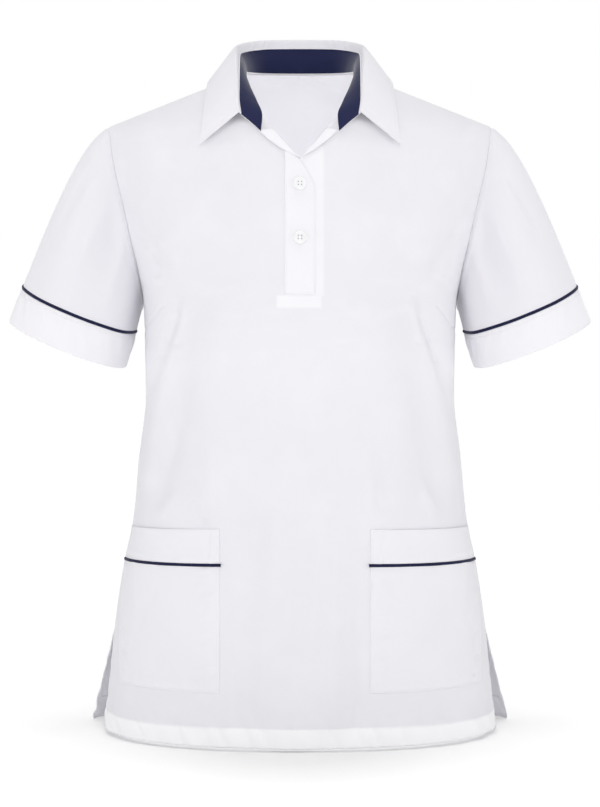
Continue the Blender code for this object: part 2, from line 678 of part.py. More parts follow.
def add_hem(name, panel):
    """The turned edge inside a panel: along the hem and up both sides of the vents."""
    hem_top = panel.line_of(0.0, panel.rows[0].z_in + HEM_DEPTH)
    upper_lines = lines_between(hem_top, VENT_TOP_ROW - 0.15, panel)
    lines = [HEM_EDGE_LINE] + upper_lines
    shares = [share for share in SIGNED_COLUMNS if abs(share) < VENT_HEM_SHARE - EDGE_MARGIN]
    shares = [-HEM_END_SHARE, -VENT_HEM_SHARE] + shares + [VENT_HEM_SHARE, HEM_END_SHARE]
    depth = -CLOTH - HEM_GAP - TRIM_CLOTH

    def strip(first_column, last_column, first_line, last_line):
        def place(i, j):
            return panel.at(shares[first_column + i], lines[first_line + j], depth)
        return last_column - first_column, last_line - first_line, place

    last = len(shares) - 1
    top = len(lines) - 1
    grids = [strip(0, last, 0, 1), strip(0, 1, 1, top), strip(last - 1, last, 1, top)]
    cloth(name, grids, WHITE, TRIM_CLOTH, 1.0 if panel.facing < 0 else -1.0)


def button_mesh(name):
    """Half of a button's outline, from the middle of its front round the rim to its back."""
    rim = BUTTON_RADIUS
    outline = (
        (0.0, 0.0),
        (rim - 0.0008, 0.0),
        (rim, 0.0008),
        (rim, 0.0018),
        (rim - 0.0007, BUTTON_THICKNESS),
        (rim - 0.0017, BUTTON_THICKNESS),
        (rim - 0.0026, BUTTON_THICKNESS - BUTTON_DISH),
        (0.0, BUTTON_THICKNESS - BUTTON_DISH),
    )
    bm = bmesh.new()
    verts = [bm.verts.new((x, 0.0, z)) for x, z in reversed(outline)]
    for start, end in zip(verts, verts[1:]):
        bm.edges.new((start, end))
    mesh = bpy.data.meshes.new(name)
    bm.to_mesh(mesh)
    bm.free()
    return mesh


def add_button(name, panel, z):
    """A four-hole button flat on the placket at height z."""
    t = panel.line_of(0.0, z)
    seat = LAYER_GAP + TRIM_CLOTH + LAYER_GAP
    normal = Vector(panel.at(0.0, t, 1.0) - panel.at(0.0, t))
    turn = normal.to_track_quat("Z", "Y")
    button = add_object(name, button_mesh(name), BUTTON_WHITE, 0.35)
    button.location = Vector(panel.at(0.0, t, seat + BUTTON_TILT_CLEARANCE))
    button.rotation_mode = "QUATERNION"
    button.rotation_quaternion = turn
    turning = button.modifiers.new("turned", "SCREW")
    turning.steps = BUTTON_SIDES
    turning.render_steps = BUTTON_SIDES
    turning.use_merge_vertices = True
    turning.merge_threshold = 0.00001
    bm = bmesh.new()
    for x, y in ((-1, -1), (1, -1), (-1, 1), (1, 1)):
        made = bmesh.ops.create_cone(bm, cap_ends=True, segments=8, radius1=BUTTON_HOLE_RADIUS,
                                     radius2=BUTTON_HOLE_RADIUS, depth=BUTTON_THICKNESS * 3.0)
        bmesh.ops.translate(bm, verts=made["verts"],
                            vec=(x * BUTTON_HOLE_SPREAD, y * BUTTON_HOLE_SPREAD, 0.0))
    holes_mesh = bpy.data.meshes.new(name + "_holes")
    bm.to_mesh(holes_mesh)
    bm.free()
    holes = bpy.data.objects.new(name + "_holes", holes_mesh)
    holes.parent = button
    holes.hide_render = True
    holes.display_type = "WIRE"
    bpy.data.collections["cutters"].objects.link(holes)
    cut = button.modifiers.new("holes", "BOOLEAN")
    cut.operation = "DIFFERENCE"
    cut.object = holes


def main():
    for old in list(bpy.data.objects):
        bpy.data.objects.remove(old)
    for name in ("tunic", "cutters"):
        bpy.context.scene.collection.children.link(bpy.data.collections.new(name))

    front = Panel(FRONT_ROWS, BACK_ROWS[-2], FRONT_LINES, FRONT_FOLDS, -1)
    back = Panel(BACK_ROWS, FRONT_ROWS[-2], BACK_LINES, BACK_FOLDS, 1)
    body_panel("front", front, -SEAM_GAP / 2)
    body_panel("back", back, SEAM_GAP / 2)
    add_hem("front_hem", front)
    add_hem("back_hem", back)
    add_sleeve("left", Sleeve(sleeve_ring(front, back, 1), 1, SLEEVE_FOLDS_LEFT))
    add_sleeve("right", Sleeve(sleeve_ring(front, back, -1), -1, SLEEVE_FOLDS_RIGHT))
    add_collar()
    add_placket(front)
    add_pocket(front, "left", 1)
    add_pocket(front, "right", -1)
    for number, z in enumerate(BUTTON_HEIGHTS, start=1):
        add_button("button_" + str(number), front, z)


main()
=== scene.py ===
"""The looks of a short-sleeved healthcare tunic in the hollow shape it has when worn.

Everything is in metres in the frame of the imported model: +Z is up, the front faces -Y and the wearer's
left is +X. The sections follow the garment as it is put together.
"""
import functools
import math
from collections import namedtuple

import bmesh
import bpy
import numpy as np
from mathutils import Matrix, Vector


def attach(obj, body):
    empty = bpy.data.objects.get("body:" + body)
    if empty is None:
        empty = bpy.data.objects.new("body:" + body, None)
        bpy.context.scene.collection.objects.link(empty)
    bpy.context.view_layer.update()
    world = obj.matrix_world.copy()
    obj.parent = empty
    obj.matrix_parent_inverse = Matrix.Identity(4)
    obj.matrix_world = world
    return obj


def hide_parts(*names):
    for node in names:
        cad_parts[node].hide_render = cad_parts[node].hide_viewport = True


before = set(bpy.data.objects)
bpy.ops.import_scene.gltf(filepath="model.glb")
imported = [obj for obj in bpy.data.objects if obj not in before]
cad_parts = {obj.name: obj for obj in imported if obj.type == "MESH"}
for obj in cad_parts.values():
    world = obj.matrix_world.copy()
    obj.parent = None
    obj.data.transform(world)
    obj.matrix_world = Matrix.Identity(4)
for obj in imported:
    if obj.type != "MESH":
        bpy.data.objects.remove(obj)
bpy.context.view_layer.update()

# Front panel. One piece of plain woven poly-cotton, slit from the neck, shaped by two bust darts and open
# in two side vents. It is laid through rows from the hem to the shoulder seam. A row runs from the middle
# line, or from the neck edge above it, out to the side seam or the armhole.
CLOTH = 0.0006
SEAM_DIP = 0.0005
SEAM_DIP_WIDTH = 0.0016
SHOULDER_DIP_ROWS = 0.10
SHOULDER_ROW = 16.0
UNDERARM_ROW = 8.0
VENT_TOP_ROW = 2.0
SLIT_ROW = 12.0
SLIT_END_ROW = 14.0
PANEL_REACH = 0.250
FOLD_TAPER = 0.35
FOLD_END = 0.15

Row = namedtuple("Row", "x_in y_in z_in x_out y_out z_out wrap_degrees squareness")

FRONT_ROWS = (
    Row(0.0, -0.1370, -0.698, 0.2145, -0.0060, -0.696, 88, 2.30),
    Row(0.0, -0.1370, -0.640, 0.2080, -0.0030, -0.639, 89, 2.30),
    Row(0.0, -0.1350, -0.582, 0.2020, 0.0, -0.582, 90, 2.30),
    Row(0.0, -0.1310, -0.519, 0.1925, 0.0, -0.519, 90, 2.30),
    Row(0.0, -0.1270, -0.467, 0.1815, 0.0, -0.467, 90, 2.30),
    Row(0.0, -0.1230, -0.400, 0.1750, 0.0, -0.400, 90, 2.30),
    Row(0.0, -0.1240, -0.336, 0.1678, 0.0, -0.336, 90, 2.30),
    Row(0.0, -0.1310, -0.283, 0.1682, 0.0, -0.283, 90, 2.30),
    Row(0.0, -0.1370, -0.236, 0.1695, 0.0, -0.236, 90, 2.25),
    Row(0.0, -0.1350, -0.196, 0.1735, -0.0240, -0.203, 82, 2.15),
    Row(0.0, -0.1260, -0.153, 0.1820, -0.0370, -0.163, 74, 2.05),
    Row(0.0, -0.1140, -0.112, 0.1905, -0.0390, -0.124, 68, 2.00),
    Row(0.0, -0.1040, -0.0785, 0.1975, -0.0360, -0.095, 62, 2.00),
    Row(0.0190, -0.0965, -0.0575, 0.2015, -0.0310, -0.075, 58, 2.00),
    Row(0.0380, -0.0870, -0.036, 0.2040, -0.0230, -0.059, 54, 2.00),
    Row(0.0550, -0.0450, -0.005, 0.2055, -0.0125, -0.0485, 50, 2.00),
    Row(0.0600, 0.0, 0.014, 0.2060, 0.0, -0.044, 45, 2.00),
)
ROW_BEHIND_FRONT = Row(0.0480, 0.0500, 0.0145, 0.2055, 0.0120, -0.0485, 50, 2.00)

# A soft fold runs from its first point to its second, seen from the front. Height is negative for a
# trough.
Fold = namedtuple("Fold", "x_start z_start x_end z_end half_width height")

FRONT_FOLDS = (
    Fold(-0.172, -0.080, -0.125, -0.175, 0.020, 0.0040),
    Fold(0.170, -0.085, 0.128, -0.165, 0.019, 0.0034),
    Fold(-0.120, -0.245, -0.150, -0.385, 0.026, -0.0050),
    Fold(0.122, -0.240, 0.154, -0.400, 0.027, -0.0056),
    Fold(-0.092, -0.260, -0.100, -0.430, 0.022, 0.0034),
    Fold(0.096, -0.270, 0.090, -0.445, 0.023, 0.0038),
    Fold(-0.060, -0.470, -0.052, -0.660, 0.020, -0.0030),
    Fold(0.058, -0.480, 0.066, -0.670, 0.019, -0.0034),
    Fold(-0.018, -0.420, -0.010, -0.690, 0.024, 0.0026),
)
FRONT_CREASES = (
    Fold(-0.183, -0.122, -0.126, -0.186, 0.0085, 0.0032),
    Fold(-0.176, -0.148, -0.134, -0.198, 0.0070, -0.0028),
    Fold(-0.170, -0.168, -0.152, -0.200, 0.0050, 0.0019),
    Fold(-0.164, -0.178, -0.148, -0.206, 0.0045, -0.0020),
    Fold(0.182, -0.116, 0.116, -0.188, 0.0090, 0.0034),
    Fold(0.178, -0.142, 0.132, -0.200, 0.0075, -0.0028),
    Fold(0.171, -0.165, 0.146, -0.208, 0.0050, 0.0020),
    Fold(0.166, -0.176, 0.150, -0.204, 0.0045, -0.0020),
    Fold(-0.098, -0.070, -0.078, -0.130, 0.014, -0.0020),
    Fold(0.100, -0.066, 0.070, -0.128, 0.013, -0.0022),
    Fold(-0.119, -0.222, -0.137, -0.280, 0.0075, 0.0042),
    Fold(-0.137, -0.280, -0.160, -0.375, 0.0100, 0.0058),
    Fold(-0.160, -0.375, -0.166, -0.430, 0.0120, 0.0042),
    Fold(-0.128, -0.232, -0.148, -0.290, 0.0060, -0.0049),
    Fold(-0.148, -0.290, -0.161, -0.330, 0.0060, -0.0024),
    Fold(-0.118, -0.300, -0.130, -0.360, 0.0150, -0.0020),
    Fold(-0.130, -0.360, -0.157, -0.455, 0.0110, -0.0041),
    Fold(-0.126, -0.425, -0.150, -0.462, 0.0080, 0.0028),
    Fold(-0.114, -0.436, -0.099, -0.466, 0.0060, -0.0028),
    Fold(-0.096, -0.380, -0.090, -0.460, 0.0100, 0.0032),
    Fold(0.118, -0.222, 0.134, -0.278, 0.0075, 0.0042),
    Fold(0.134, -0.278, 0.157, -0.365, 0.0100, 0.0058),
    Fold(0.157, -0.365, 0.164, -0.430, 0.0120, 0.0042),
    Fold(0.127, -0.232, 0.146, -0.290, 0.0060, -0.0049),
    Fold(0.146, -0.290, 0.159, -0.330, 0.0060, -0.0024),
    Fold(0.118, -0.300, 0.130, -0.360, 0.0150, -0.0016),
    Fold(0.130, -0.360, 0.154, -0.460, 0.0110, -0.0032),
    Fold(0.128, -0.420, 0.148, -0.460, 0.0070, 0.0028),
    Fold(0.090, -0.385, 0.087, -0.455, 0.0100, -0.0032),
    Fold(0.066, -0.350, 0.070, -0.455, 0.0120, 0.0031),
    Fold(0.000, -0.275, 0.017, -0.415, 0.0200, -0.0036),
    Fold(0.017, -0.415, 0.006, -0.690, 0.0170, -0.0036),
    Fold(-0.030, -0.430, -0.024, -0.520, 0.0120, 0.0028),
    Fold(-0.072, -0.560, -0.070, -0.690, 0.0090, -0.0026),
    Fold(-0.036, -0.560, -0.040, -0.672, 0.0120, 0.0032),
    Fold(0.036, -0.520, 0.034, -0.690, 0.0120, 0.0032),
    Fold(0.058, -0.560, 0.060, -0.690, 0.0090, -0.0026),
)


def slopes_of(steps):
    """The slope at each row from the steps on its two sides, level where they point opposite ways."""
    product = steps[:-1] * steps[1:]
    total = np.where(product > 0.0, steps[:-1] + steps[1:], 1.0)
    inner = np.where(product > 0.0, 2.0 * product / total, 0.0)
    return np.vstack((steps[:1], inner, steps[-1:]))


def through_rows(table, t):
    """Smooth curves through a table's rows that never pass their values; t counts rows."""
    values = np.asarray(table, dtype=float)
    t = np.atleast_1d(np.asarray(t, dtype=float))
    steps = np.diff(values, axis=0)
    slopes = slopes_of(steps)
    start = np.clip(np.floor(t).astype(int), 0, len(steps) - 1)
    f = (t - start)[:, None]
    return (values[start] + steps[start] * f * f * (3.0 - 2.0 * f)
            + slopes[start] * f * (1.0 - f) ** 2 - slopes[start + 1] * f * f * (1.0 - f))


def smooth_step(value):
    clamped = np.clip(value, 0.0, 1.0)
    return clamped * clamped * (3.0 - 2.0 * clamped)


def near(distance, width):
    """A soft bump that is 1 at no distance and dies away over a width."""
    return np.exp(-(distance / width) ** 2)


def unit(vectors):
    return vectors / np.linalg.norm(vectors, axis=-1, keepdims=True)


def fold_height(folds, x, z, tapered=False):
    """Sum of the folds' heights at places seen from the front. A fold that starts where the last one ends
    goes on from it without a bump, and tapered folds die away at their free ends."""
    total = np.zeros_like(x)
    ends = [None] + [(fold.x_end, fold.z_end) for fold in folds]
    starts = [(fold.x_start, fold.z_start) for fold in folds] + [None]
    last = 0.0
    for k, fold in enumerate(folds):
        run_x = fold.x_end - fold.x_start
        run_z = fold.z_end - fold.z_start
        along = ((x - fold.x_start) * run_x + (z - fold.z_start) * run_z) / (run_x ** 2 + run_z ** 2)
        along = np.clip(along, 0.0, 1.0)
        beside = np.hypot(x - fold.x_start - along * run_x, z - fold.z_start - along * run_z)
        height = fold.height * near(beside, fold.half_width)
        goes_on = ends[k] == starts[k]
        if tapered and not goes_on:
            height = height * smooth_step(FOLD_END + along / FOLD_TAPER)
        if tapered and starts[k + 1] != ends[k + 1]:
            height = height * smooth_step(FOLD_END + (1.0 - along) / FOLD_TAPER)
        if goes_on:
            joined = np.where(np.abs(height) > np.abs(last), height, last)
            total += joined - last
            last = joined
        else:
            total += height
            last = height
    return total


class Panel:
    """A cloth panel as a surface. s is the signed share across a row and t counts rows."""

    def __init__(self, rows, row_beyond, folds, creases, facing):
        self.table = np.array(rows + (row_beyond,), dtype=float)
        self.folds = folds
        self.creases = creases
        self.facing = facing
        self.darts = ()

    def row(self, t):
        """The rows at t. The neck slit's edge is straight from row to row."""
        row = through_rows(self.table, t)
        if self.facing < 0:
            start = np.clip(np.floor(t).astype(int), 0, len(self.table) - 2)
            f = (t - start)[:, None]
            straight = self.table[start, :3] * (1.0 - f) + self.table[start + 1, :3] * f
            beside_slit = (t > SLIT_ROW) & (t < SLIT_END_ROW)
            row[beside_slit, :3] = straight[beside_slit]
        return row

    def bare(self, s, t):
        x_in, y_in, z_in, x_out, y_out, z_out, wrap, squareness = self.row(t).T
        wrap = np.radians(wrap)
        angle = np.abs(s) * wrap
        power = 2.0 / squareness
        across = (np.sin(angle) / np.sin(wrap)) ** power
        depth = np.maximum((np.cos(angle) - np.cos(wrap)) / (1.0 - np.cos(wrap)), 0.0) ** power
        x = np.copysign(x_in + (x_out - x_in) * across, s)
        return np.stack((x, y_out + (y_in - y_out) * depth, z_in + (z_out - z_in) * across), axis=-1)

    def normal(self, s, t):
        side = np.copysign(1.0, s)
        u = np.abs(s)
        toward = np.where(u < 0.5, 0.01, -0.01)
        up = np.where(t < SHOULDER_ROW / 2.0, 0.01, -0.01)
        point = self.bare(s, t)
        along_u = (self.bare(side * (u + toward), t) - point) / toward[:, None]
        along_t = (self.bare(s, t + up) - point) / up[:, None]
        normal = np.cross(along_u, along_t) * (side * -self.facing)[:, None]
        normal[(u < 1e-9) & (np.abs(point[:, 0]) < 1e-9), 0] = 0.0
        return unit(normal)

    def surface(self, s, t, lift=0.0, dip=True):
        """Points on the worn panel, moved out by lift. Folds fade out towards the seams."""
        s = np.asarray(s, dtype=float)
        t = np.asarray(t, dtype=float)
        point = self.bare(s, t)
        x, z = point[:, 0], point[:, 2]
        u = np.abs(s)
        fade = (1.0 - u ** 6) * smooth_step((SHOULDER_ROW - t) / 3.0)
        height = (fold_height(self.folds, x, z) + fold_height(self.creases, x, z, tapered=True)) * fade
        height += fold_height(self.darts, x, z)
        if dip:
            from_seam = (1.0 - u) * PANEL_REACH
            sewn = smooth_step((t - VENT_TOP_ROW) / 0.05)
            height -= SEAM_DIP * near(from_seam, SEAM_DIP_WIDTH) * sewn
            height -= SEAM_DIP * near(SHOULDER_ROW - t, SHOULDER_DIP_ROWS)
        return point + self.normal(s, t) * (height + lift)[:, None]

    def share(self, x, t):
        """The signed share s at which rows t pass x."""
        row = self.row(t)
        wrap = np.radians(row[:, 6])
        across = np.clip((np.abs(x) - row[:, 0]) / (row[:, 3] - row[:, 0]), 0.0, 1.0)
        angle = np.arcsin(np.minimum(across ** (row[:, 7] / 2.0) * np.sin(wrap), 1.0))
        return np.copysign(angle / wrap, x)

    def line_of(self, x, z):
        """The row count t at which the panel passes x and z."""
        low, high = 0.0, SHOULDER_ROW
        for _ in range(40):
            middle = np.array([(low + high) / 2.0])
            if self.bare(np.abs(self.share(x, middle)), middle)[0, 2] < z:
                low = middle[0]
            else:
                high = middle[0]
        return (low + high) / 2.0


def hex_colour(code):
    """A colour written as six sRGB digits, as linear values."""
    channels = [int(code[i:i + 2], 16) / 255.0 for i in (0, 2, 4)]
    linear = [c / 12.92 if c <= 0.04045 else ((c + 0.055) / 1.055) ** 2.4 for c in channels]
    return (*linear, 1.0)


def add_node(tree, kind, inputs=None, **settings):
    """Add a node, give it its settings, and set or link its inputs."""
    node = tree.nodes.new(kind)
    for name, value in settings.items():
        setattr(node, name, value)
    for name, value in (inputs or {}).items():
        if isinstance(value, bpy.types.NodeSocket):
            tree.links.new(value, node.inputs[name])
        else:
            node.inputs[name].default_value = value
    return node


def calculate(tree, operation, first, second=0.0, **settings):
    """The output of a node that works out one sum."""
    return add_node(tree, "ShaderNodeMath", {0: first, 1: second}, operation=operation, **settings).outputs[0]


def new_material(name, roughness, colour=None):
    """A material, its node tree and its shader."""
    made = bpy.data.materials.new(name)
    made.use_nodes = True
    shader = made.node_tree.nodes["Principled BSDF"]
    shader.inputs["Roughness"].default_value = roughness
    if colour:
        shader.inputs["Base Color"].default_value = hex_colour(colour)
    return made, made.node_tree, shader


def new_object(name, bm, material=None, smooth=False):
    """Turn a finished bmesh into an object of the scene."""
    mesh = bpy.data.meshes.new(name)
    bm.to_mesh(mesh)
    bm.free()
    if smooth:
        mesh.shade_smooth()
    if material:
        mesh.materials.append(material)
    made = bpy.data.objects.new(name, mesh)
    bpy.context.scene.collection.objects.link(made)
    return made


# Poly-cotton plain weave: matt, a faint sheen at grazing angles, whiter where two layers lie together.
# Its threads are 0.3 mm apart, and they are drawn 0.7 mm apart so that they show at all.
THREAD_SPACING = 0.0007
WEAVE_DEPTH = 0.00005
SLUB_DEPTH = 0.00035
BOX_BLUR = 0.0014
WELD_DISTANCE = 0.00001


def woven_cloth(name, single, double, roughness=0.82, sheen=0.25, doubled_boxes=()):
    """Cloth whose tone goes from single to double by the layers attribute, and inside boxes in x and z."""
    made, tree, shader = new_material(name, roughness)
    uv = add_node(tree, "ShaderNodeUVMap", uv_map="cloth").outputs["UV"]
    axes = add_node(tree, "ShaderNodeSeparateXYZ", {0: uv}).outputs
    waves = [calculate(tree, "SINE", calculate(tree, "MULTIPLY", axes[axis], math.pi / THREAD_SPACING))
             for axis in ("X", "Y")]
    weave = calculate(tree, "MULTIPLY", *waves)
    slubs = add_node(tree, "ShaderNodeTexNoise", {"Vector": uv, "Scale": 140.0, "Detail": 4.0})
    fine = add_node(tree, "ShaderNodeBump", {"Height": weave, "Distance": WEAVE_DEPTH, "Strength": 0.5})
    bump = add_node(tree, "ShaderNodeBump", {"Height": slubs.outputs["Fac"], "Distance": SLUB_DEPTH,
                                             "Strength": 0.35, "Normal": fine.outputs[0]})
    clouds = add_node(tree, "ShaderNodeTexNoise", {"Vector": uv, "Scale": 22.0, "Detail": 2.0})
    uneven = add_node(tree, "ShaderNodeMapRange", {"Value": clouds.outputs["Fac"], "From Min": 0.3,
                                                   "From Max": 0.7, "To Min": -0.12, "To Max": 0.12})
    doubled = add_node(tree, "ShaderNodeAttribute", attribute_name="layers").outputs["Fac"]
    for box in doubled_boxes:
        place = add_node(tree, "ShaderNodeTexCoord").outputs["Object"]
        place = add_node(tree, "ShaderNodeSeparateXYZ", {0: place}).outputs
        inside = box.strength
        for axis, middle, half in (("X", box.middle_x, box.half_x), ("Z", box.middle_z, box.half_z)):
            away = calculate(tree, "ABSOLUTE", calculate(tree, "SUBTRACT", place[axis], middle))
            edge = add_node(tree, "ShaderNodeMapRange", {
                "Value": away, "From Min": half - BOX_BLUR, "From Max": half + BOX_BLUR,
                "To Min": 1.0, "To Max": 0.0})
            inside = calculate(tree, "MULTIPLY", inside, edge.outputs[0])
        doubled = calculate(tree, "MAXIMUM", doubled, inside)
    share = calculate(tree, "ADD", doubled, uneven.outputs[0], use_clamp=True)
    tone = add_node(tree, "ShaderNodeMix", {"Factor": share, 6: hex_colour(single), 7: hex_colour(double)},
                    data_type="RGBA")
    tree.links.new(tone.outputs[2], shader.inputs["Base Color"])
    tree.links.new(bump.outputs[0], shader.inputs["Normal"])
    shader.inputs["Specular IOR Level"].default_value = 0.25
    shader.inputs["Sheen Weight"].default_value = sheen
    shader.inputs["Sheen Roughness"].default_value = 0.4
    return made


white_poly_cotton = woven_cloth("white_poly_cotton", "EBEAEF", "F2F1F5")

# The front's cloth is whiter where the under placket lies behind it, as a strip and a box at the foot.
DoubledBox = namedtuple("DoubledBox", "middle_x middle_z half_x half_z strength")
UNDER_STRIP = DoubledBox(0.0045, -0.144, 0.0203, 0.0780, 0.38)
UNDER_BOX = DoubledBox(-0.0010, -0.2273, 0.0232, 0.0063, 0.52)
front_poly_cotton = woven_cloth("white_poly_cotton_front", "EBEAEF", "FCFBFD",
                                doubled_boxes=(UNDER_STRIP, UNDER_BOX))


def cloth_piece(name, grids, thickness, offset, cloth):
    """A wall of cloth over grids, each given as (points, size in metres, layers or None).

    The points are an array of rows and columns. The size gives the piece its own UV map in metres, which
    runs on from one grid to the next, and layers is 0 on single cloth and 1 on doubled cloth. On the
    pockets and the collar fall it also carries painted highlight and painted shade.
    """
    bm = bmesh.new()
    uv = bm.loops.layers.uv.new("cloth")
    doubled = bm.verts.layers.float.new("layers")
    start = 0.0
    for points, size, layers in grids:
        rows, columns = points.shape[0] - 1, points.shape[1] - 1
        made = bmesh.ops.create_grid(bm, x_segments=columns, y_segments=rows, size=0.5, calc_uvs=True)
        faces = set()
        for vert in made["verts"]:
            i = round((vert.co.x + 0.5) * columns)
            j = round((vert.co.y + 0.5) * rows)
            vert.co = points[j, i]
            vert[doubled] = 0.0 if layers is None else float(layers[j, i])
            faces.update(vert.link_faces)
        for face in faces:
            for loop in face.loops:
                loop[uv].uv = (start + loop[uv].uv.x * size[0], loop[uv].uv.y * size[1])
        start += size[0]
    bmesh.ops.remove_doubles(bm, verts=bm.verts, dist=WELD_DISTANCE)
    made = new_object(name, bm, cloth, smooth=True)
    wall = made.modifiers.new("wall", "SOLIDIFY")
    wall.thickness = thickness
    wall.offset = offset
    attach(made, "root")
    return made


def spaced(length, step, near_start=(), near_end=()):
    """Shares from 0 to 1 along a length, a step apart, and closer at given distances from its ends."""
    low = max(near_start, default=0.0)
    high = length - max(near_end, default=0.0)
    count = max(int(math.ceil((high - low) / step)), 1)
    places = np.concatenate(([0.0], near_start, np.linspace(low, high, count + 1)[1:-1],
                             [length - distance for distance in sorted(near_end, reverse=True)], [length]))
    return np.unique(np.round(places / length, 6))


def row_lines(counts):
    """Row counts t from the hem up, with a given number of lines in each row."""
    lines = [row + np.arange(count) / count for row, count in enumerate(counts)]
    return np.concatenate(lines + [[float(len(counts))]])


PuckerWave = namedtuple("PuckerWave", "height length turns")
PUCKER_WAVES = (PuckerWave(0.50, 0.0235, 1.0), PuckerWave(0.32, 0.0148, 2.3), PuckerWave(0.18, 0.0091, 3.9))


def puckers(distance, shift):
    """An uneven run of small waves along a sewn edge, between -1 and 1."""
    return sum(wave.height * np.sin(distance * 2.0 * math.pi / wave.length + wave.turns * shift)
               for wave in PUCKER_WAVES)


HEM_DEPTH = 0.021
STITCH_GROOVE = 0.0005
STITCH_GROOVE_WIDTH = 0.0012
VENT_HEM_WIDTH = 0.0105
HEM_PUCKER = 0.0018
HEM_PUCKER_SLANT = 0.45
VENT_PUCKER = 0.0004
HEM_ROLL = 0.0004
HEM_ROLL_WIDTH = 0.0005
DOUBLED_FADE = 0.0016
DART_HALF_WIDTH = 0.0011
DART_DEPTH = 0.0010
FRONT_COLUMNS = np.concatenate((np.linspace(0.0, 0.74, 60), np.linspace(0.74, 0.985, 28)[1:],
                                (0.9905, 0.994, 0.9965, 0.9985, 1.0)))
FRONT_LINE_COUNTS = (26, 14, 15, 12, 15, 14, 13, 30, 26, 12, 11, 9, 7, 7, 7, 7)

front = Panel(FRONT_ROWS, ROW_BEHIND_FRONT, FRONT_FOLDS, FRONT_CREASES, -1)
front.darts = tuple(Fold(side * 0.1690, -0.2640, side * 0.1475, -0.2340, DART_HALF_WIDTH, -DART_DEPTH)
                    for side in (-1, 1))


def hem_height(panel, s, t):
    """The turned hem and vent edges: a groove at their stitching, and puckers between it and the edge."""
    point = panel.bare(s, t)
    from_hem = point[:, 2] - panel.table[0, 2]
    from_vent = (1.0 - np.abs(s)) * PANEL_REACH
    on_vent = smooth_step((VENT_TOP_ROW - t) / 0.1)
    groove = near(from_hem - HEM_DEPTH, STITCH_GROOVE_WIDTH)
    groove += near(from_vent - VENT_HEM_WIDTH, STITCH_GROOVE_WIDTH) * on_vent
    slanted = point[:, 0] + HEM_PUCKER_SLANT * from_hem
    near_hem = near(from_hem - 0.6 * HEM_DEPTH, 0.75 * HEM_DEPTH)
    wave = puckers(slanted, 1.0 + panel.facing) * near_hem * HEM_PUCKER
    near_vent = near(from_vent, VENT_HEM_WIDTH) * on_vent
    wave += puckers(from_hem, 2.0 + np.sign(s)[0]) * near_vent * VENT_PUCKER
    rolled = np.exp(-np.minimum(from_hem, from_vent + (1.0 - on_vent)) / HEM_ROLL_WIDTH) * HEM_ROLL
    return wave - groove * STITCH_GROOVE - rolled


def hem_layers(panel, s, t):
    """1 where the turned hem and vent edges double the cloth, with a short fade."""
    from_hem = panel.bare(s, t)[:, 2] - panel.table[0, 2]
    from_vent = (1.0 - np.abs(s)) * PANEL_REACH + np.where(t > VENT_TOP_ROW, 1.0, 0.0)
    return smooth_step((HEM_DEPTH - np.minimum(from_hem, from_vent * 2.0)) / DOUBLED_FADE + 0.5)


def body_piece(name, panel, columns, lines, thickness_side, cloth, node):
    """The two halves of a panel, joined on the middle line."""
    grids = []
    for side in (-1.0, 1.0):
        shares = columns * side if side > 0 else (columns * side)[::-1]
        shares = np.where(shares == 0.0, np.copysign(0.0, side), shares)
        s = np.tile(shares, len(lines))
        t = np.repeat(lines, len(shares))
        points = panel.surface(s, t, hem_height(panel, s, t))
        layers = hem_layers(panel, s, t)
        shape = (len(lines), len(shares))
        grids.append((points.reshape(*shape, 3), (PANEL_REACH, 0.72), layers.reshape(shape)))
    made = cloth_piece(name, grids, CLOTH, thickness_side, cloth)
    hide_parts(node)
    return made


front_cloth = body_piece("front_cloth", front, FRONT_COLUMNS, row_lines(FRONT_LINE_COUNTS), -1.0,
                         front_poly_cotton, "front")

# Sewing thread: white spun polyester in lockstitches 2.8 mm long, each showing 2 mm of thread that sinks
# into the cloth. It is drawn 0.6 mm thick, about twice life size, so that it shows.
STITCH_LENGTH = 0.0028
STITCH_SHOWN = 0.0020
THREAD_RADIUS = 0.00030
sewing_thread, tree, shader = new_material("white_polyester_thread", 0.55, "FAFAFC")
place = add_node(tree, "ShaderNodeTexCoord").outputs["Object"]
plies = add_node(tree, "ShaderNodeTexNoise", {"Vector": place, "Scale": 2500.0})
twist = add_node(tree, "ShaderNodeBump", {"Height": plies.outputs["Fac"], "Distance": 0.0001})
tree.links.new(twist.outputs[0], shader.inputs["Normal"])


def thread_bar(bm, first, last, normal, radius=THREAD_RADIUS):
    """One visible length of thread lying on the cloth."""
    along = (last - first) / 2.0
    across = normal.cross(along).normalized() * radius
    shape = Matrix((along, across, normal * radius)).transposed().to_4x4()
    middle = (first + last) / 2.0 + normal * radius * 0.3
    bmesh.ops.create_icosphere(bm, subdivisions=1, radius=1.0, matrix=Matrix.Translation(middle) @ shape)


def add_thread(name, bm, material=sewing_thread, smooth=True):
    made = new_object(name, bm, material, smooth)
    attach(made, "root")


def lengths_along(line):
    return np.concatenate(([0.0], np.cumsum(np.linalg.norm(np.diff(line, axis=0), axis=1))))


def values_at(places, lengths, values):
    """The three values of each row, at places along the lengths that belong to the rows."""
    return np.stack([np.interp(places, lengths, values[:, axis]) for axis in range(3)], axis=-1)


def sew(name, rows):
    """Rows of lockstitches as one piece, each row given as points and the cloth's normals there."""
    bm = bmesh.new()
    for points, normals in rows:
        lengths = lengths_along(points)
        for start in np.arange(0.0, lengths[-1] - STITCH_SHOWN, STITCH_LENGTH):
            first = Vector(values_at(start, lengths, points))
            last = Vector(values_at(start + STITCH_SHOWN, lengths, points))
            thread_bar(bm, first, last, Vector(values_at(start, lengths, normals)).normalized())
    add_thread(name, bm)


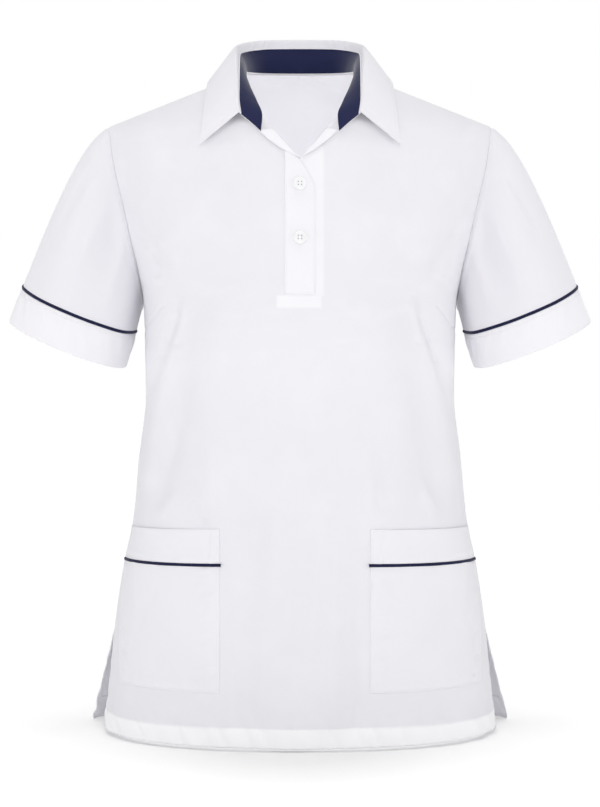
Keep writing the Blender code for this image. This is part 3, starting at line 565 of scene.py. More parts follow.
def lines_at_height(panel, s, z):
    """The row counts t at which the lines s of a panel pass the height z."""
    low, high = np.zeros_like(s), np.full_like(s, SHOULDER_ROW)
    for _ in range(30):
        middle = (low + high) / 2.0
        below = panel.bare(s, middle)[:, 2] < z
        low, high = np.where(below, middle, low), np.where(below, high, middle)
    return low


def hem_rows(panel):
    """The stitching of a panel's hem and of its two vents."""
    vent_share = 1.0 - VENT_HEM_WIDTH / PANEL_REACH
    across = np.linspace(-vent_share, vent_share, 240)
    hem_line = lines_at_height(panel, across, panel.table[0, 2] + HEM_DEPTH)
    up = np.linspace(hem_line[0], VENT_TOP_ROW, 60)
    rows = []
    for s, t in ((across, hem_line), (np.full(60, -vent_share), up), (np.full(60, vent_share), up)):
        rows.append((panel.surface(s, t, hem_height(panel, s, t)), panel.normal(s, t)))
    return rows


sew("hem_thread_front", hem_rows(front))

# Back panel. One plain piece of the same cloth, sewn to the front at the shoulders and side seams, with
# the same vents. The photo hides it, so it has soft folds like the front's and no yoke.
BACK_ROWS = (
    Row(0.0, 0.1370, -0.698, 0.2320, 0.0440, -0.699, 74, 2.15),
    Row(0.0, 0.1340, -0.640, 0.2160, 0.0200, -0.638, 84, 2.25),
    Row(0.0, 0.1310, -0.582, 0.2020, 0.0, -0.582, 90, 2.30),
    Row(0.0, 0.1270, -0.519, 0.1925, 0.0, -0.519, 90, 2.30),
    Row(0.0, 0.1210, -0.467, 0.1815, 0.0, -0.467, 90, 2.30),
    Row(0.0, 0.1090, -0.400, 0.1750, 0.0, -0.400, 90, 2.30),
    Row(0.0, 0.1010, -0.336, 0.1678, 0.0, -0.336, 90, 2.30),
    Row(0.0, 0.1040, -0.283, 0.1682, 0.0, -0.283, 90, 2.30),
    Row(0.0, 0.1110, -0.236, 0.1695, 0.0, -0.236, 90, 2.25),
    Row(0.0, 0.1160, -0.190, 0.1735, 0.0230, -0.203, 82, 2.15),
    Row(0.0, 0.1180, -0.140, 0.1820, 0.0350, -0.163, 74, 2.05),
    Row(0.0, 0.1160, -0.088, 0.1905, 0.0370, -0.124, 68, 2.00),
    Row(0.0, 0.1080, -0.036, 0.1975, 0.0340, -0.095, 62, 2.00),
    Row(0.0, 0.0940, -0.005, 0.2015, 0.0290, -0.075, 58, 2.00),
    Row(0.0, 0.0760, 0.0145, 0.2040, 0.0220, -0.059, 54, 2.00),
    Row(0.0480, 0.0500, 0.0145, 0.2055, 0.0120, -0.0485, 50, 2.00),
    Row(0.0600, 0.0, 0.014, 0.2060, 0.0, -0.044, 45, 2.00),
)
BACK_FOLDS = (
    Fold(-0.120, -0.110, -0.060, -0.260, 0.022, 0.0036),
    Fold(0.126, -0.100, 0.070, -0.240, 0.021, 0.0032),
    Fold(-0.078, -0.270, -0.066, -0.420, 0.022, -0.0046),
    Fold(0.074, -0.262, 0.070, -0.400, 0.023, -0.0050),
    Fold(-0.120, -0.420, -0.140, -0.680, 0.026, 0.0044),
    Fold(0.116, -0.440, 0.132, -0.690, 0.025, 0.0040),
    Fold(0.012, -0.430, 0.004, -0.690, 0.027, 0.0036),
)
BACK_CREASES = (
    Fold(-0.168, -0.120, -0.128, -0.210, 0.010, -0.0016),
    Fold(0.170, -0.112, 0.122, -0.200, 0.011, -0.0018),
    Fold(-0.150, -0.262, -0.096, -0.300, 0.010, 0.0015),
    Fold(0.152, -0.272, 0.104, -0.318, 0.009, 0.0013),
    Fold(-0.140, -0.330, -0.090, -0.352, 0.008, -0.0012),
    Fold(0.142, -0.322, 0.084, -0.346, 0.009, -0.0014),
    Fold(0.030, -0.200, 0.020, -0.330, 0.018, -0.0018),
    Fold(-0.036, -0.480, -0.050, -0.680, 0.015, -0.0018),
    Fold(0.062, -0.500, 0.070, -0.690, 0.014, -0.0017),
)
BACK_COLUMNS = np.concatenate((np.linspace(0.0, 0.94, 52),
                               (0.960, 0.975, 0.985, 0.991, 0.9955, 0.9985, 1.0)))
BACK_LINE_COUNTS = (24, 12, 13, 11, 14, 13, 11, 10, 9, 9, 11, 11, 8, 7, 7, 7)

back = Panel(BACK_ROWS, FRONT_ROWS[-2], BACK_FOLDS, BACK_CREASES, 1)
back_cloth = body_piece("back_cloth", back, BACK_COLUMNS, row_lines(BACK_LINE_COUNTS), 1.0,
                        white_poly_cotton, "back")
sew("hem_thread_back", hem_rows(back))

# Turned hem and vent edges. The cloth of each panel is folded in along the hem and up both vents, and
# sewn down with one row of stitching.
TURNED_CLOTH = 0.0006
TURNED_DEPTH = -0.0011


def inner_strip(panel, shares, lines):
    """A grid of points inside a panel's hem, the same shares on each line."""
    s = np.tile(shares, len(lines))
    t = np.repeat(lines, len(shares))
    heights = hem_height(panel, s, t) + TURNED_DEPTH
    return panel.surface(s, t, heights, dip=False).reshape(len(lines), len(shares), 3)


def add_turned_edge(name, panel, columns, node):
    hem_top = panel.line_of(0.0, panel.table[0, 2] + HEM_DEPTH + 0.0012)
    vent_top = VENT_TOP_ROW - 0.06
    inner_share = 1.0 - (VENT_HEM_WIDTH + 0.001) / PANEL_REACH
    hem_shares = np.concatenate((-columns[:0:-1], columns))
    grids = [(inner_strip(panel, hem_shares, np.linspace(0.004, hem_top, 13)), (0.5, HEM_DEPTH), None)]
    for side in (-1.0, 1.0):
        shares = np.sort(side * np.linspace(inner_share, 1.0, 7))
        lines = np.linspace(hem_top - 0.02, vent_top, 40)
        grids.append((inner_strip(panel, shares, lines), (VENT_HEM_WIDTH, 0.1), None))
    made = cloth_piece(name, grids, TURNED_CLOTH, 1.0 if panel.facing < 0 else -1.0, white_poly_cotton)
    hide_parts(node)
    return made


front_turned = add_turned_edge("front_turned_edge", front, FRONT_COLUMNS, "front_hem")
back_turned = add_turned_edge("back_turned_edge", back, BACK_COLUMNS, "back_hem")

# Sleeves. Each is one set-in piece of the same cloth, sewn into the armhole, and ends in a seam above
# its band. A ridge beside the armhole seam shows where the seam allowance lies under it.
SLEEVE_HEM_CENTRE = (0.2526, 0.0, -0.2785)
SLEEVE_HEM_HALF_WIDTH = 0.068
SLEEVE_HEM_HALF_DEPTH = 0.059
SLEEVE_HEM_TILT = 0.09
SLEEVE_LEAN_DEGREES = 21.8
SLEEVE_REACH = (0.025, 0.010)
SLEEVE_FALL = (0.0675, 0.0425)
SLEEVE_LEAVE_OUT = (0.665, 0.265)
SLEEVE_LEAVE_FORE = -0.25
SLEEVE_LEAVE_UP = (-0.645, 0.275)
SLEEVE_SEAM_GAP = 0.0001
SLEEVE_BAND_DEPTH = 0.0385
SLEEVE_COLUMNS = 208
SLEEVE_SAMPLES = 60
PIPING_WIDTH = 0.0034
ALLOWANCE_RIDGE = 0.0005
ALLOWANCE_REACH = 0.0055
ALLOWANCE_WIDTH = 0.0022

SleeveFold = namedtuple("SleeveFold", "degrees s_start s_end half_degrees height")

SLEEVE_FOLDS_LEFT = (
    SleeveFold(60, 0.15, 0.95, 16, 0.0034),
    SleeveFold(100, 0.10, 0.80, 15, -0.0040),
    SleeveFold(140, 0.20, 1.00, 16, 0.0036),
    SleeveFold(235, 0.15, 0.95, 18, -0.0036),
    SleeveFold(290, 0.20, 0.90, 17, 0.0034),
    SleeveFold(40, 0.05, 0.60, 6, -0.0015),
    SleeveFold(80, 0.10, 0.70, 7, 0.0016),
    SleeveFold(118, 0.05, 0.55, 6, 0.0017),
    SleeveFold(262, 0.10, 0.70, 7, 0.0017),
    SleeveFold(320, 0.05, 0.65, 8, -0.0016),
)
SLEEVE_FOLDS_RIGHT = (
    SleeveFold(52, 0.20, 0.90, 15, 0.0030),
    SleeveFold(92, 0.10, 0.90, 16, -0.0036),
    SleeveFold(132, 0.15, 1.00, 17, 0.0040),
    SleeveFold(225, 0.20, 0.90, 17, -0.0034),
    SleeveFold(284, 0.15, 0.95, 18, 0.0036),
    SleeveFold(34, 0.05, 0.55, 7, -0.0016),
    SleeveFold(72, 0.15, 0.75, 6, 0.0015),
    SleeveFold(112, 0.05, 0.60, 7, 0.0016),
    SleeveFold(255, 0.05, 0.65, 6, -0.0017),
    SleeveFold(316, 0.10, 0.70, 8, 0.0016),
)


def armhole_ring(side):
    """Evenly spaced points from the shoulder down the front to the underarm and up the back."""
    down = np.linspace(SHOULDER_ROW, UNDERARM_ROW, 160)
    edge = np.full(len(down), float(side))
    line = np.vstack((front.surface(edge, down), back.surface(edge, down[::-1])[1:]))
    lengths = lengths_along(line)
    return values_at(np.arange(SLEEVE_COLUMNS) / SLEEVE_COLUMNS * lengths[-1], lengths, line)


class Sleeve:
    """A short set-in sleeve: a tube from the armhole to a level hem ring."""

    def __init__(self, side, folds):
        lean = math.radians(SLEEVE_LEAN_DEGREES)
        self.side = side
        self.folds = folds
        self.armhole = armhole_ring(side)
        self.angles = 2.0 * math.pi * np.arange(SLEEVE_COLUMNS) / SLEEVE_COLUMNS
        self.top = np.cos(self.angles)[:, None]
        self.fore = np.sin(self.angles)[:, None]
        self.across = np.array((side * math.cos(lean), 0.0, math.sin(lean)))
        self.arrive = np.array((side * math.sin(lean), 0.0, -math.cos(lean)))
        self.outward = self.across * self.top + np.array((0.0, -1.0, 0.0)) * self.fore
        self.shares = np.linspace(0.0, 1.0, SLEEVE_SAMPLES)
        samples = np.stack([self.point(np.full(SLEEVE_COLUMNS, s)) for s in self.shares])
        steps = np.linalg.norm(np.diff(samples, axis=0), axis=-1)
        self.lengths = np.vstack((np.zeros(SLEEVE_COLUMNS), np.cumsum(steps, axis=0)))

    def point(self, s):
        """The point on each line at shares s of the way from armhole to hem."""
        top, fore, s = self.top, self.fore, s[:, None]
        leave = unit(np.hstack((self.side * (SLEEVE_LEAVE_OUT[0] + SLEEVE_LEAVE_OUT[1] * top),
                                SLEEVE_LEAVE_FORE * fore,
                                SLEEVE_LEAVE_UP[0] + SLEEVE_LEAVE_UP[1] * top)))
        forward = np.array((0.0, -1.0, -SLEEVE_HEM_TILT)) * SLEEVE_HEM_HALF_DEPTH
        centre = np.array((self.side * SLEEVE_HEM_CENTRE[0], *SLEEVE_HEM_CENTRE[1:]))
        start = self.armhole + leave * SLEEVE_SEAM_GAP
        end = centre + self.across * SLEEVE_HEM_HALF_WIDTH * top + forward * fore
        bend_1 = start + leave * (SLEEVE_REACH[0] + SLEEVE_REACH[1] * top)
        bend_2 = end - self.arrive * (SLEEVE_FALL[0] + SLEEVE_FALL[1] * top)
        point = (start * (1.0 - s) ** 3 + bend_1 * 3.0 * s * (1.0 - s) ** 2
                 + bend_2 * 3.0 * s * s * (1.0 - s) + end * s ** 3)
        return point + self.outward * self.fold_height(np.degrees(self.angles), s[:, 0])[:, None]

    def fold_height(self, degrees, s):
        total = np.zeros_like(s)
        for fold in self.folds:
            turn = (degrees - fold.degrees + 180.0) % 360.0 - 180.0
            middle = (fold.s_start + fold.s_end) / 2.0
            length = (fold.s_end - fold.s_start) / 2.0
            fade = np.exp(-((s - middle) / length) ** 4) * smooth_step(s / 0.25)
            total += fold.height * near(turn, fold.half_degrees) * fade
        return total

    def ring(self, reach, rise=0.0):
        """A closed ring at a reach from the armhole along each line, moved out by rise."""
        s = np.array([np.interp(r, lengths, self.shares) for r, lengths in zip(reach, self.lengths.T)])
        points = self.point(s) + self.outward * np.broadcast_to(rise, s.shape)[:, None]
        closed = np.vstack((points, points[:1]))
        return closed if self.side > 0 else closed[::-1]

    def from_hem(self, distance, rise=0.0):
        return self.ring(self.lengths[-1] - distance, rise)


SLEEVE_SHARES = np.concatenate(((0.0, 0.006, 0.014, 0.024, 0.036, 0.050),
                                np.linspace(0.066, 0.975, 42), (0.99, 1.0)))
sleeves = {"left": Sleeve(1, SLEEVE_FOLDS_LEFT), "right": Sleeve(-1, SLEEVE_FOLDS_RIGHT)}


def sleeve_rise(reach):
    """The dip at the armhole seam, then the low ridge of the seam allowance."""
    ridge = ALLOWANCE_RIDGE * near(reach - ALLOWANCE_REACH, ALLOWANCE_WIDTH)
    return ridge - SEAM_DIP * near(reach, SEAM_DIP_WIDTH)


for name, sleeve in sleeves.items():
    seam = sleeve.lengths[-1] - SLEEVE_BAND_DEPTH - PIPING_WIDTH * 0.5
    rings = [sleeve.ring(seam * share, sleeve_rise(seam * share)) for share in SLEEVE_SHARES]
    made = cloth_piece("sleeve_cloth_" + name, [(np.array(rings), (0.42, 0.17), None)], CLOTH, -1.0,
                       white_poly_cotton)
    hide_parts("sleeve_" + name)

# Sleeve bands. A straight doubled strip sewn round the end of each sleeve, with a folded lower edge.
BAND_LIFT = 0.0003
BAND_CLOTH = 0.0011
BAND_RADIUS = 0.064
BAND_EDGE_ROLL = 0.0004
BAND_ROLL_WIDTH = 0.0005
BAND_SEAM_DIP = 0.0003
BAND_SEAM_WIDTH = 0.0008
BAND_GROOVE = 0.0004
BAND_GROOVE_WIDTH = 0.0009
BAND_PUCKER = 0.0011
BAND_PUCKER_DISTANCE = 0.024
BAND_PUCKER_WIDTH = 0.010
BAND_STITCH_DISTANCE = 0.0345
BAND_DISTANCES = (0.0385, 0.0379, 0.0370, 0.0361, 0.0352, 0.0345, 0.0338, 0.0329, 0.0310, 0.0270, 0.0225,
                  0.0180, 0.0135, 0.0095, 0.0060, 0.0032, 0.0016, 0.0007, 0.0)

for name, sleeve in sleeves.items():
    rings = []
    for distance in BAND_DISTANCES:
        rise = BAND_LIFT - BAND_EDGE_ROLL * math.exp(-distance / BAND_ROLL_WIDTH)
        rise -= BAND_SEAM_DIP * near(SLEEVE_BAND_DEPTH - distance, BAND_SEAM_WIDTH)
        rise -= BAND_GROOVE * near(BAND_STITCH_DISTANCE - distance, BAND_GROOVE_WIDTH)
        wave = BAND_PUCKER * near(distance - BAND_PUCKER_DISTANCE, BAND_PUCKER_WIDTH)
        wave = wave * puckers(sleeve.angles * BAND_RADIUS + 0.5 * distance, sleeve.side)
        rings.append(sleeve.from_hem(distance, rise + wave))
    rings = np.array(rings)
    grids = [(rings, (0.40, SLEEVE_BAND_DEPTH), np.ones(rings.shape[:2]))]
    made = cloth_piece("sleeve_band_cloth_" + name, grids, BAND_CLOTH, -1.0, white_poly_cotton)
    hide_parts("sleeve_band_" + name)
    ring = sleeve.from_hem(BAND_STITCH_DISTANCE, BAND_LIFT + THREAD_RADIUS)
    outward = np.vstack((sleeve.outward, sleeve.outward[:1]))
    sew("sleeve_band_thread_" + name, [(ring, outward if sleeve.side > 0 else outward[::-1])])

# Sleeve piping. A navy bias strip folded over a thin cord and caught in the seam above the band, so it
# stands out as a small round ridge.
PIPING_HEIGHT = 0.0011
PIPING_CLOTH = 0.0004
PIPING_COLUMNS = 11
navy_piping_cloth = woven_cloth("navy_bias_cotton", "12173A", "171D45", roughness=0.75, sheen=0.15)


def piping_profile():
    """Share across and rise of a low round ridge, ending below the cloth on both sides."""
    angles = np.linspace(math.pi * 1.12, -math.pi * 0.12, PIPING_COLUMNS)
    return 0.5 + 0.5 * np.cos(angles), np.sin(angles) * PIPING_HEIGHT


for name, sleeve in sleeves.items():
    rings = [sleeve.from_hem(SLEEVE_BAND_DEPTH + PIPING_WIDTH * (1.0 - share), rise)
             for share, rise in zip(*piping_profile())]
    made = cloth_piece("sleeve_piping_cloth_" + name, [(np.array(rings), (0.40, 0.006), None)], PIPING_CLOTH,
                       -1.0, navy_piping_cloth)
    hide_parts("sleeve_piping_" + name)

# Collar stand. A white outer and a navy inner layer, sewn to the neck edge and turned at the top. The
# stations run round the left half of the neck from the middle of the back to the front end. Each holds
# x, y and z of the neck seam, the top of the stand, the crest of the roll and the fall's outer edge.
COLLAR_STATIONS = (
    (0.0, 0.0760, 0.0162, 0.0, 0.0800, 0.0438, 0.0, 0.0840, 0.0532, 0.0, 0.0980, 0.0080),
    (0.0330, 0.0680, 0.0162, 0.0345, 0.0730, 0.0430, 0.0365, 0.0775, 0.0524, 0.0460, 0.0900, 0.0070),
    (0.0515, 0.0440, 0.0160, 0.0575, 0.0475, 0.0392, 0.0608, 0.0505, 0.0482, 0.0820, 0.0590, 0.0060),
    (0.0583, 0.0140, 0.0158, 0.0655, 0.0150, 0.0348, 0.0690, 0.0155, 0.0428, 0.0985, 0.0120, 0.0050),
    (0.0578, -0.0160, 0.0102, 0.0660, -0.0170, 0.0285, 0.0690, -0.0180, 0.0355, 0.1005, -0.0240, -0.0055),
    (0.0535, -0.0450, -0.0020, 0.0655, -0.0450, 0.0140, 0.0680, -0.0470, 0.0195, 0.1020, -0.0600, -0.0250),
    (0.0455, -0.074, -0.0190, 0.0645, -0.071, -0.0055, 0.0665, -0.0740, -0.0015, 0.1035, -0.0800, -0.042),
    (0.0393, -0.0905, -0.0345, 0.0638, -0.084, -0.0195, 0.0656, -0.087, -0.0165, 0.1045, -0.088, -0.0545),
    (0.0408, -0.097, -0.0505, 0.0620, -0.0925, -0.0325, 0.0635, -0.095, -0.0305, 0.1053, -0.0905, -0.064),
)
COLLAR_STEPS_PER_STATION = 22
STAND_CLOTH = 0.0007
STAND_SHARES = np.concatenate(((0.0, 0.02, 0.05, 0.09), np.linspace(0.14, 0.86, 13), (0.91, 0.95, 0.98, 1.0)))

left_stations = np.array(COLLAR_STATIONS)
right_stations = left_stations[:0:-1].copy()
right_stations[:, 0::3] *= -1.0
stations = np.vstack((right_stations, left_stations))
last_station = len(stations) - 1.0
end_places = np.array((0.0, 0.01, 0.03, 0.06))
collar_places = np.unique(np.concatenate((
    end_places, np.linspace(0.1, last_station - 0.1, (len(stations) - 1) * COLLAR_STEPS_PER_STATION),
    last_station - end_places)))
collar_rows = through_rows(stations, collar_places)
seam_line, stand_top, crest_line, fall_edge = (collar_rows[:, k:k + 3] for k in (0, 3, 6, 9))
hollow_line = (seam_line + stand_top) / 2.0 - (crest_line - stand_top) * np.array((0.35, 0.35, 0.0))


def curves_between(controls, places):
    """Smooth curves through matching points of several lines; an array of places by points."""
    flat = through_rows(np.reshape(controls, (len(controls), -1)), places)
    return flat.reshape(len(places), -1, 3)


stand_points = curves_between((seam_line, hollow_line, stand_top), STAND_SHARES * 2.0)
navy_poly_cotton = woven_cloth("navy_poly_cotton", "1B2046", "20264F", roughness=0.8, sheen=0.3)
stand_inner = cloth_piece("stand_inner_navy", [(stand_points, (0.36, 0.03), None)], STAND_CLOTH, 1.0,
                          navy_poly_cotton)
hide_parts("collar_stand_navy")
stand_layers = np.ones(stand_points.shape[:2])
stand_outer = cloth_piece("stand_outer_white", [(stand_points, (0.36, 0.03), stand_layers)], STAND_CLOTH,
                          -1.0, white_poly_cotton)
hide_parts("collar_stand")

# Collar fall. The folded leaf: two layers with interfacing, sewn to the top of the stand, rolled over it
# and pressed down to two points, with fine creases where the roll turns at the back of the neck.
FALL_CLOTH = 0.0013
FALL_BOW = 0.0025

# A fine crease across the roll: its station from the middle of the back, lean, half width and depth.
CollarCrease = namedtuple("CollarCrease", "station lean half_width depth")
COLLAR_CREASES = (
    CollarCrease(-1.62, 0.22, 0.050, 0.0010),
    CollarCrease(-1.40, 0.26, 0.045, 0.0009),
    CollarCrease(-1.22, 0.30, 0.055, 0.0011),
    CollarCrease(-0.95, 0.28, 0.050, 0.0008),
    CollarCrease(-0.55, 0.20, 0.060, 0.0005),
    CollarCrease(0.90, -0.26, 0.055, 0.0009),
    CollarCrease(1.12, -0.30, 0.050, 0.0011),
    CollarCrease(1.33, -0.28, 0.045, 0.0009),
    CollarCrease(1.58, -0.20, 0.050, 0.0010),
)
SEAM_ROLL_RADIUS = 0.0007
SEAM_ROLL_CLOTH = 0.0002
FALL_STITCH_PLACE = 2.84
FALL_STITCH_STATION = 0.45
FALL_STITCH_TOP = 1.2
FALL_PLACES = np.concatenate((
    (0.0, 0.15, 0.3, 0.45, 0.6, 0.72, 0.82, 0.91, 1.0, 1.07, 1.14, 1.22, 1.32, 1.45),
    np.linspace(1.6, FALL_STITCH_PLACE, 12), (2.90, 2.935, 2.96, 2.98, 2.992, 3.0)))
CREASE_PLACE = 0.5
CREASE_REACH = 0.42

run = fall_edge - crest_line
steepness = np.abs(run[:, 2]) / np.linalg.norm(run, axis=1)
bow = unit(np.column_stack((run[:, :2], np.zeros(len(run))))) * (FALL_BOW * steepness ** 4)[:, None]
fall_points = curves_between((stand_top, crest_line, (crest_line + fall_edge) / 2.0 + bow, fall_edge),
                             FALL_PLACES)


def normals_of(points):
    """Unit normals of a grid of points."""
    return unit(np.cross(np.gradient(points, axis=1), np.gradient(points, axis=0)))


fall_normals = normals_of(fall_points)
place_grid, station_grid = np.meshgrid(FALL_PLACES, collar_places, indexing="ij")
creases = np.zeros_like(place_grid)
for crease in COLLAR_CREASES:
    turned = station_grid - last_station / 2.0 - crease.station
    across = near(turned - crease.lean * (place_grid - CREASE_PLACE), crease.half_width)
    creases += crease.depth * across * np.exp(-((place_grid - CREASE_PLACE) / CREASE_REACH) ** 4)
fall_points = fall_points + fall_normals * creases[..., None]
# Painted shade on the fall: it is two layers all over, but its tone stays single on the roll by the stand and
# rises only to 0.3 of the doubled tone on the leaf.
fall = cloth_piece("collar_fall_cloth", [(fall_points, (0.44, 0.065), 0.3 * smooth_step(place_grid - 0.6))],
                   FALL_CLOTH, 0.0, white_poly_cotton)
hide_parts("collar_fall")


def seam_roll(name, line, toward, out, rise):
    """The thin folded edge of white cloth that shows along a collar seam."""
    up = np.array((0.0, 0.0, 1.0))
    rings = []
    for turn in np.linspace(0.0, 2.0 * math.pi, 9):
        over = toward * (out + SEAM_ROLL_RADIUS * math.cos(turn))
        rings.append(line + over + up * (rise + SEAM_ROLL_RADIUS * math.sin(turn)))
    return cloth_piece(name, [(np.array(rings), (0.40, 0.004), np.ones((9, len(line))))], SEAM_ROLL_CLOTH,
                       -1.0, white_poly_cotton)


stand_normals = normals_of(stand_points)
rolls = [seam_roll("collar_seam_roll_top", stand_points[-1], stand_normals[-1], 0.0013, 0.0),
         seam_roll("collar_seam_roll_neck", stand_points[0], stand_normals[0], 0.0006, -0.0007)]


def fall_row(rows, columns):
    """Places for stitching on the fall's grid, with the normals there."""
    normals = fall_normals[rows, columns]
    return fall_points[rows, columns] + normals * (FALL_CLOTH / 2.0 + THREAD_RADIUS * 0.4), normals


edge_row = int(np.argmin(np.abs(FALL_PLACES - FALL_STITCH_PLACE)))
down_rows = slice(int(np.argmin(np.abs(FALL_PLACES - FALL_STITCH_TOP))), edge_row + 1)
ends = (FALL_STITCH_STATION, last_station - FALL_STITCH_STATION)
stitched = [fall_row(edge_row, (collar_places > ends[0]) & (collar_places < ends[1]))]
for end in ends:
    stitched.append(fall_row(down_rows, int(np.argmin(np.abs(collar_places - end)))))
sew("collar_thread", stitched)

# Placket. A doubled strip over the neck slit, closed by two buttons and boxed at its foot, over an under
# strip inside. Above the first button the slit falls open and its two folded edges turn outwards.
PLACKET_HALF_WIDTH = 0.0161
PLACKET_BOTTOM_Z = -0.220
PLACKET_TOP_LINE = 12.80
PLACKET_RIGHT_Z = (-0.106, -0.093, -0.078, -0.0735)
PLACKET_RIGHT_X = (0.0158, 0.0092, -0.0012, -0.0085)
PLACKET_CLOTH = 0.0010
PLACKET_LIFT = 0.00125
PLACKET_PUFF = 0.0003
PLACKET_METRES_PER_ROW = 0.041
UNDER_PLACKET_X = 0.021
EDGE_STITCH = 0.0012
EDGE_ROLL = 0.0005
EDGE_ROLL_WIDTH = 0.0004
EDGE_GROOVE_WIDTH = 0.0006
PLACKET_BOX_Z = -0.204
SLIT_LINES = (12.02, 12.25, 12.5, 13.0, 13.45)
SLIT_WIDTHS = {"left": (0.0010, 0.0042, 0.0080, 0.0115, 0.0130),
               "right": (0.0010, 0.0052, 0.0105, 0.0145, 0.0165)}
SLIT_LIFT = 0.0011
SLIT_TURN_RISE = 0.0012
SLIT_PUFF = 0.0006
EDGE_DISTANCES = (0.0004, 0.0009, 0.0014, 0.0019, 0.0026)


def row_on(edges, across, t, lift, drop=None):
    """Places at shares across a piece that lies on the front between two edges, with the normals there.

    The edges are given as functions of the lines t. lift(across, t) is the height over the front and
    drop(across, t) lowers the lines.
    """
    across, t = (np.array(values, dtype=float) for values in np.broadcast_arrays(across, t))
    first, last = edges(t)
    s = first + (last - first) * across
    place = t - drop(across, t) if drop else t
    return front.surface(s, place, lift(across, t), dip=False), front.normal(s, place)


def patch(name, node, edges, lines, shares, lift, thickness, layers, size, drop=None):
    """A piece lying on the front between two edges, as a grid of lines and shares across."""
    t = np.repeat(lines, len(shares))
    across = np.tile(shares, len(lines))
    points = row_on(edges, across, t, lift, drop)[0].reshape(len(lines), len(shares), 3)
    tones = layers(across, t - drop(across, t) if drop else t).reshape(len(lines), len(shares))
    made = cloth_piece(name, [(points, size, tones)], thickness, -1.0, white_poly_cotton)
    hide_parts(node)
    return made


def sewn_edge(distance):
    """The profile across a folded, edge-stitched border: a rolled edge and a groove at the thread."""
    groove = STITCH_GROOVE * near(distance - EDGE_STITCH, EDGE_GROOVE_WIDTH)
    return -EDGE_ROLL * np.exp(-distance / EDGE_ROLL_WIDTH) - groove


def all_doubled(across, t):
    return np.ones_like(across)


placket_foot = front.line_of(0.0, PLACKET_BOTTOM_Z)
placket_lines = placket_foot + (PLACKET_TOP_LINE - placket_foot) * spaced(0.160, 0.0024, EDGE_DISTANCES)
placket_shares = spaced(2.0 * PLACKET_HALF_WIDTH, 0.0022, EDGE_DISTANCES, EDGE_DISTANCES)


def placket_edges(t):
    right = np.interp(front.row(t)[:, 2], PLACKET_RIGHT_Z, PLACKET_RIGHT_X)
    right = np.where(t > SLIT_ROW, np.minimum(right, -front.row(t)[:, 0] - 0.0003), right)
    return front.share(np.full(len(t), -PLACKET_HALF_WIDTH), t), front.share(right, t)


def placket_lift(across, t):
    width = 2.0 * PLACKET_HALF_WIDTH
    from_side = np.minimum(across, 1.0 - across) * width
    from_foot = (t - placket_foot) * PLACKET_METRES_PER_ROW
    puff = PLACKET_PUFF * np.sin(math.pi * across)
    return PLACKET_LIFT + sewn_edge(from_side) + sewn_edge(from_foot) + puff


placket = patch("placket_over_cloth", "placket_over", placket_edges, placket_lines, placket_shares,
                placket_lift, PLACKET_CLOTH, all_doubled, (0.033, 0.15))

edge_share = EDGE_STITCH / (2.0 * PLACKET_HALF_WIDTH)
foot_line = placket_foot + EDGE_STITCH / PLACKET_METRES_PER_ROW
box_line = front.line_of(0.0, PLACKET_BOX_Z)
upward = np.linspace(foot_line, PLACKET_TOP_LINE - 0.05, 80)
stitched = ((edge_share, upward), (1.0 - edge_share, upward),
            (np.linspace(edge_share, 1.0 - edge_share, 12), foot_line),
            (np.linspace(0.16, 0.80, 12), box_line))
sew("placket_thread", [row_on(placket_edges, across, t, placket_lift) for across, t in stitched])


def under_edges(t):
    return tuple(front.share(np.full(len(t), x), t) for x in (-PLACKET_HALF_WIDTH, UNDER_PLACKET_X))


def under_lift(across, t):
    return np.full_like(across, -CLOTH - 0.0003)


under_lines = np.linspace(placket_foot, SLIT_ROW - 0.05, 40)
under = patch("placket_under_cloth", "placket_under", under_edges, under_lines, np.linspace(0.0, 1.0, 13),
              under_lift, PLACKET_CLOTH, all_doubled, (0.037, 0.147))

for name, side in (("left", 1.0), ("right", -1.0)):
    def slit_edges(t, name=name, side=side):
        inner = front.row(t)[:, 0]
        width = np.interp(t, SLIT_LINES, SLIT_WIDTHS[name])
        near = side * front.share(inner + 0.0002, t)
        far = side * front.share(inner + 0.0002 + width, t)
        return np.minimum(near, far), np.maximum(near, far)

    def slit_lift(across, t, side=side):
        outer = across if side > 0 else 1.0 - across
        return SLIT_LIFT + SLIT_TURN_RISE * outer + SLIT_PUFF * np.sin(math.pi * outer)

    lines = np.linspace(SLIT_LINES[0], SLIT_LINES[-1], 36)
    edge = patch("slit_edge_cloth_" + name, "slit_edge_" + name, slit_edges, lines, np.linspace(0.0, 1.0, 11),
                 slit_lift, PLACKET_CLOTH, all_doubled, (0.012, 0.04))

# Patch pockets. A single layer with turned edges, sewn to the front on three sides, with its mouth closed
# under a doubled band. The cloth is a little full between the seams and puckers along them.
POCKET_INNER_X = {"left": 0.0740, "right": 0.0845}
POCKET_OUTER_DROP = 0.14
POCKET_OUTER_SHARES = (0.755, 0.930)
POCKET_TOP_Z = -0.467
POCKET_BOTTOM_Z = -0.6400
POCKET_PIPING_Z = -0.505
POCKET_WIDTH = 0.115
POCKET_TURN = 0.011
POCKET_TURN_FADE = 0.005
# The third tone is a painted highlight: cloth drawn whiter along the piping.
POCKET_TONE, TURNED_TONE, PIPING_HIGHLIGHT_TONE, BAND_TONE = 0.35, 0.15, 0.40, 0.55
POCKET_LIFT = 0.0009
POCKET_FULLNESS = 0.0016
BAND_FULLNESS = 0.0008
POCKET_CLOTH = 0.0006
BAND_STITCH_IN = 0.0078
BAND_STITCH_DEPTH = 0.0006
BAND_STITCH_OUT = 0.0034
MOUTH_ROLL_WIDTH = 0.0006
PIPING_SIDE_REACH = 0.0015

# Puckers on a pocket: their height, the distance from the seam where they are highest, and their width.
Puckers = namedtuple("Puckers", "height distance width")
SIDE_PUCKERS = Puckers(0.0014, 0.0095, 0.0065)
BOTTOM_PUCKERS = Puckers(0.0011, 0.009, 0.006)
POCKET_BAND_PUCKERS = Puckers(0.0005, 0.030, 0.012)

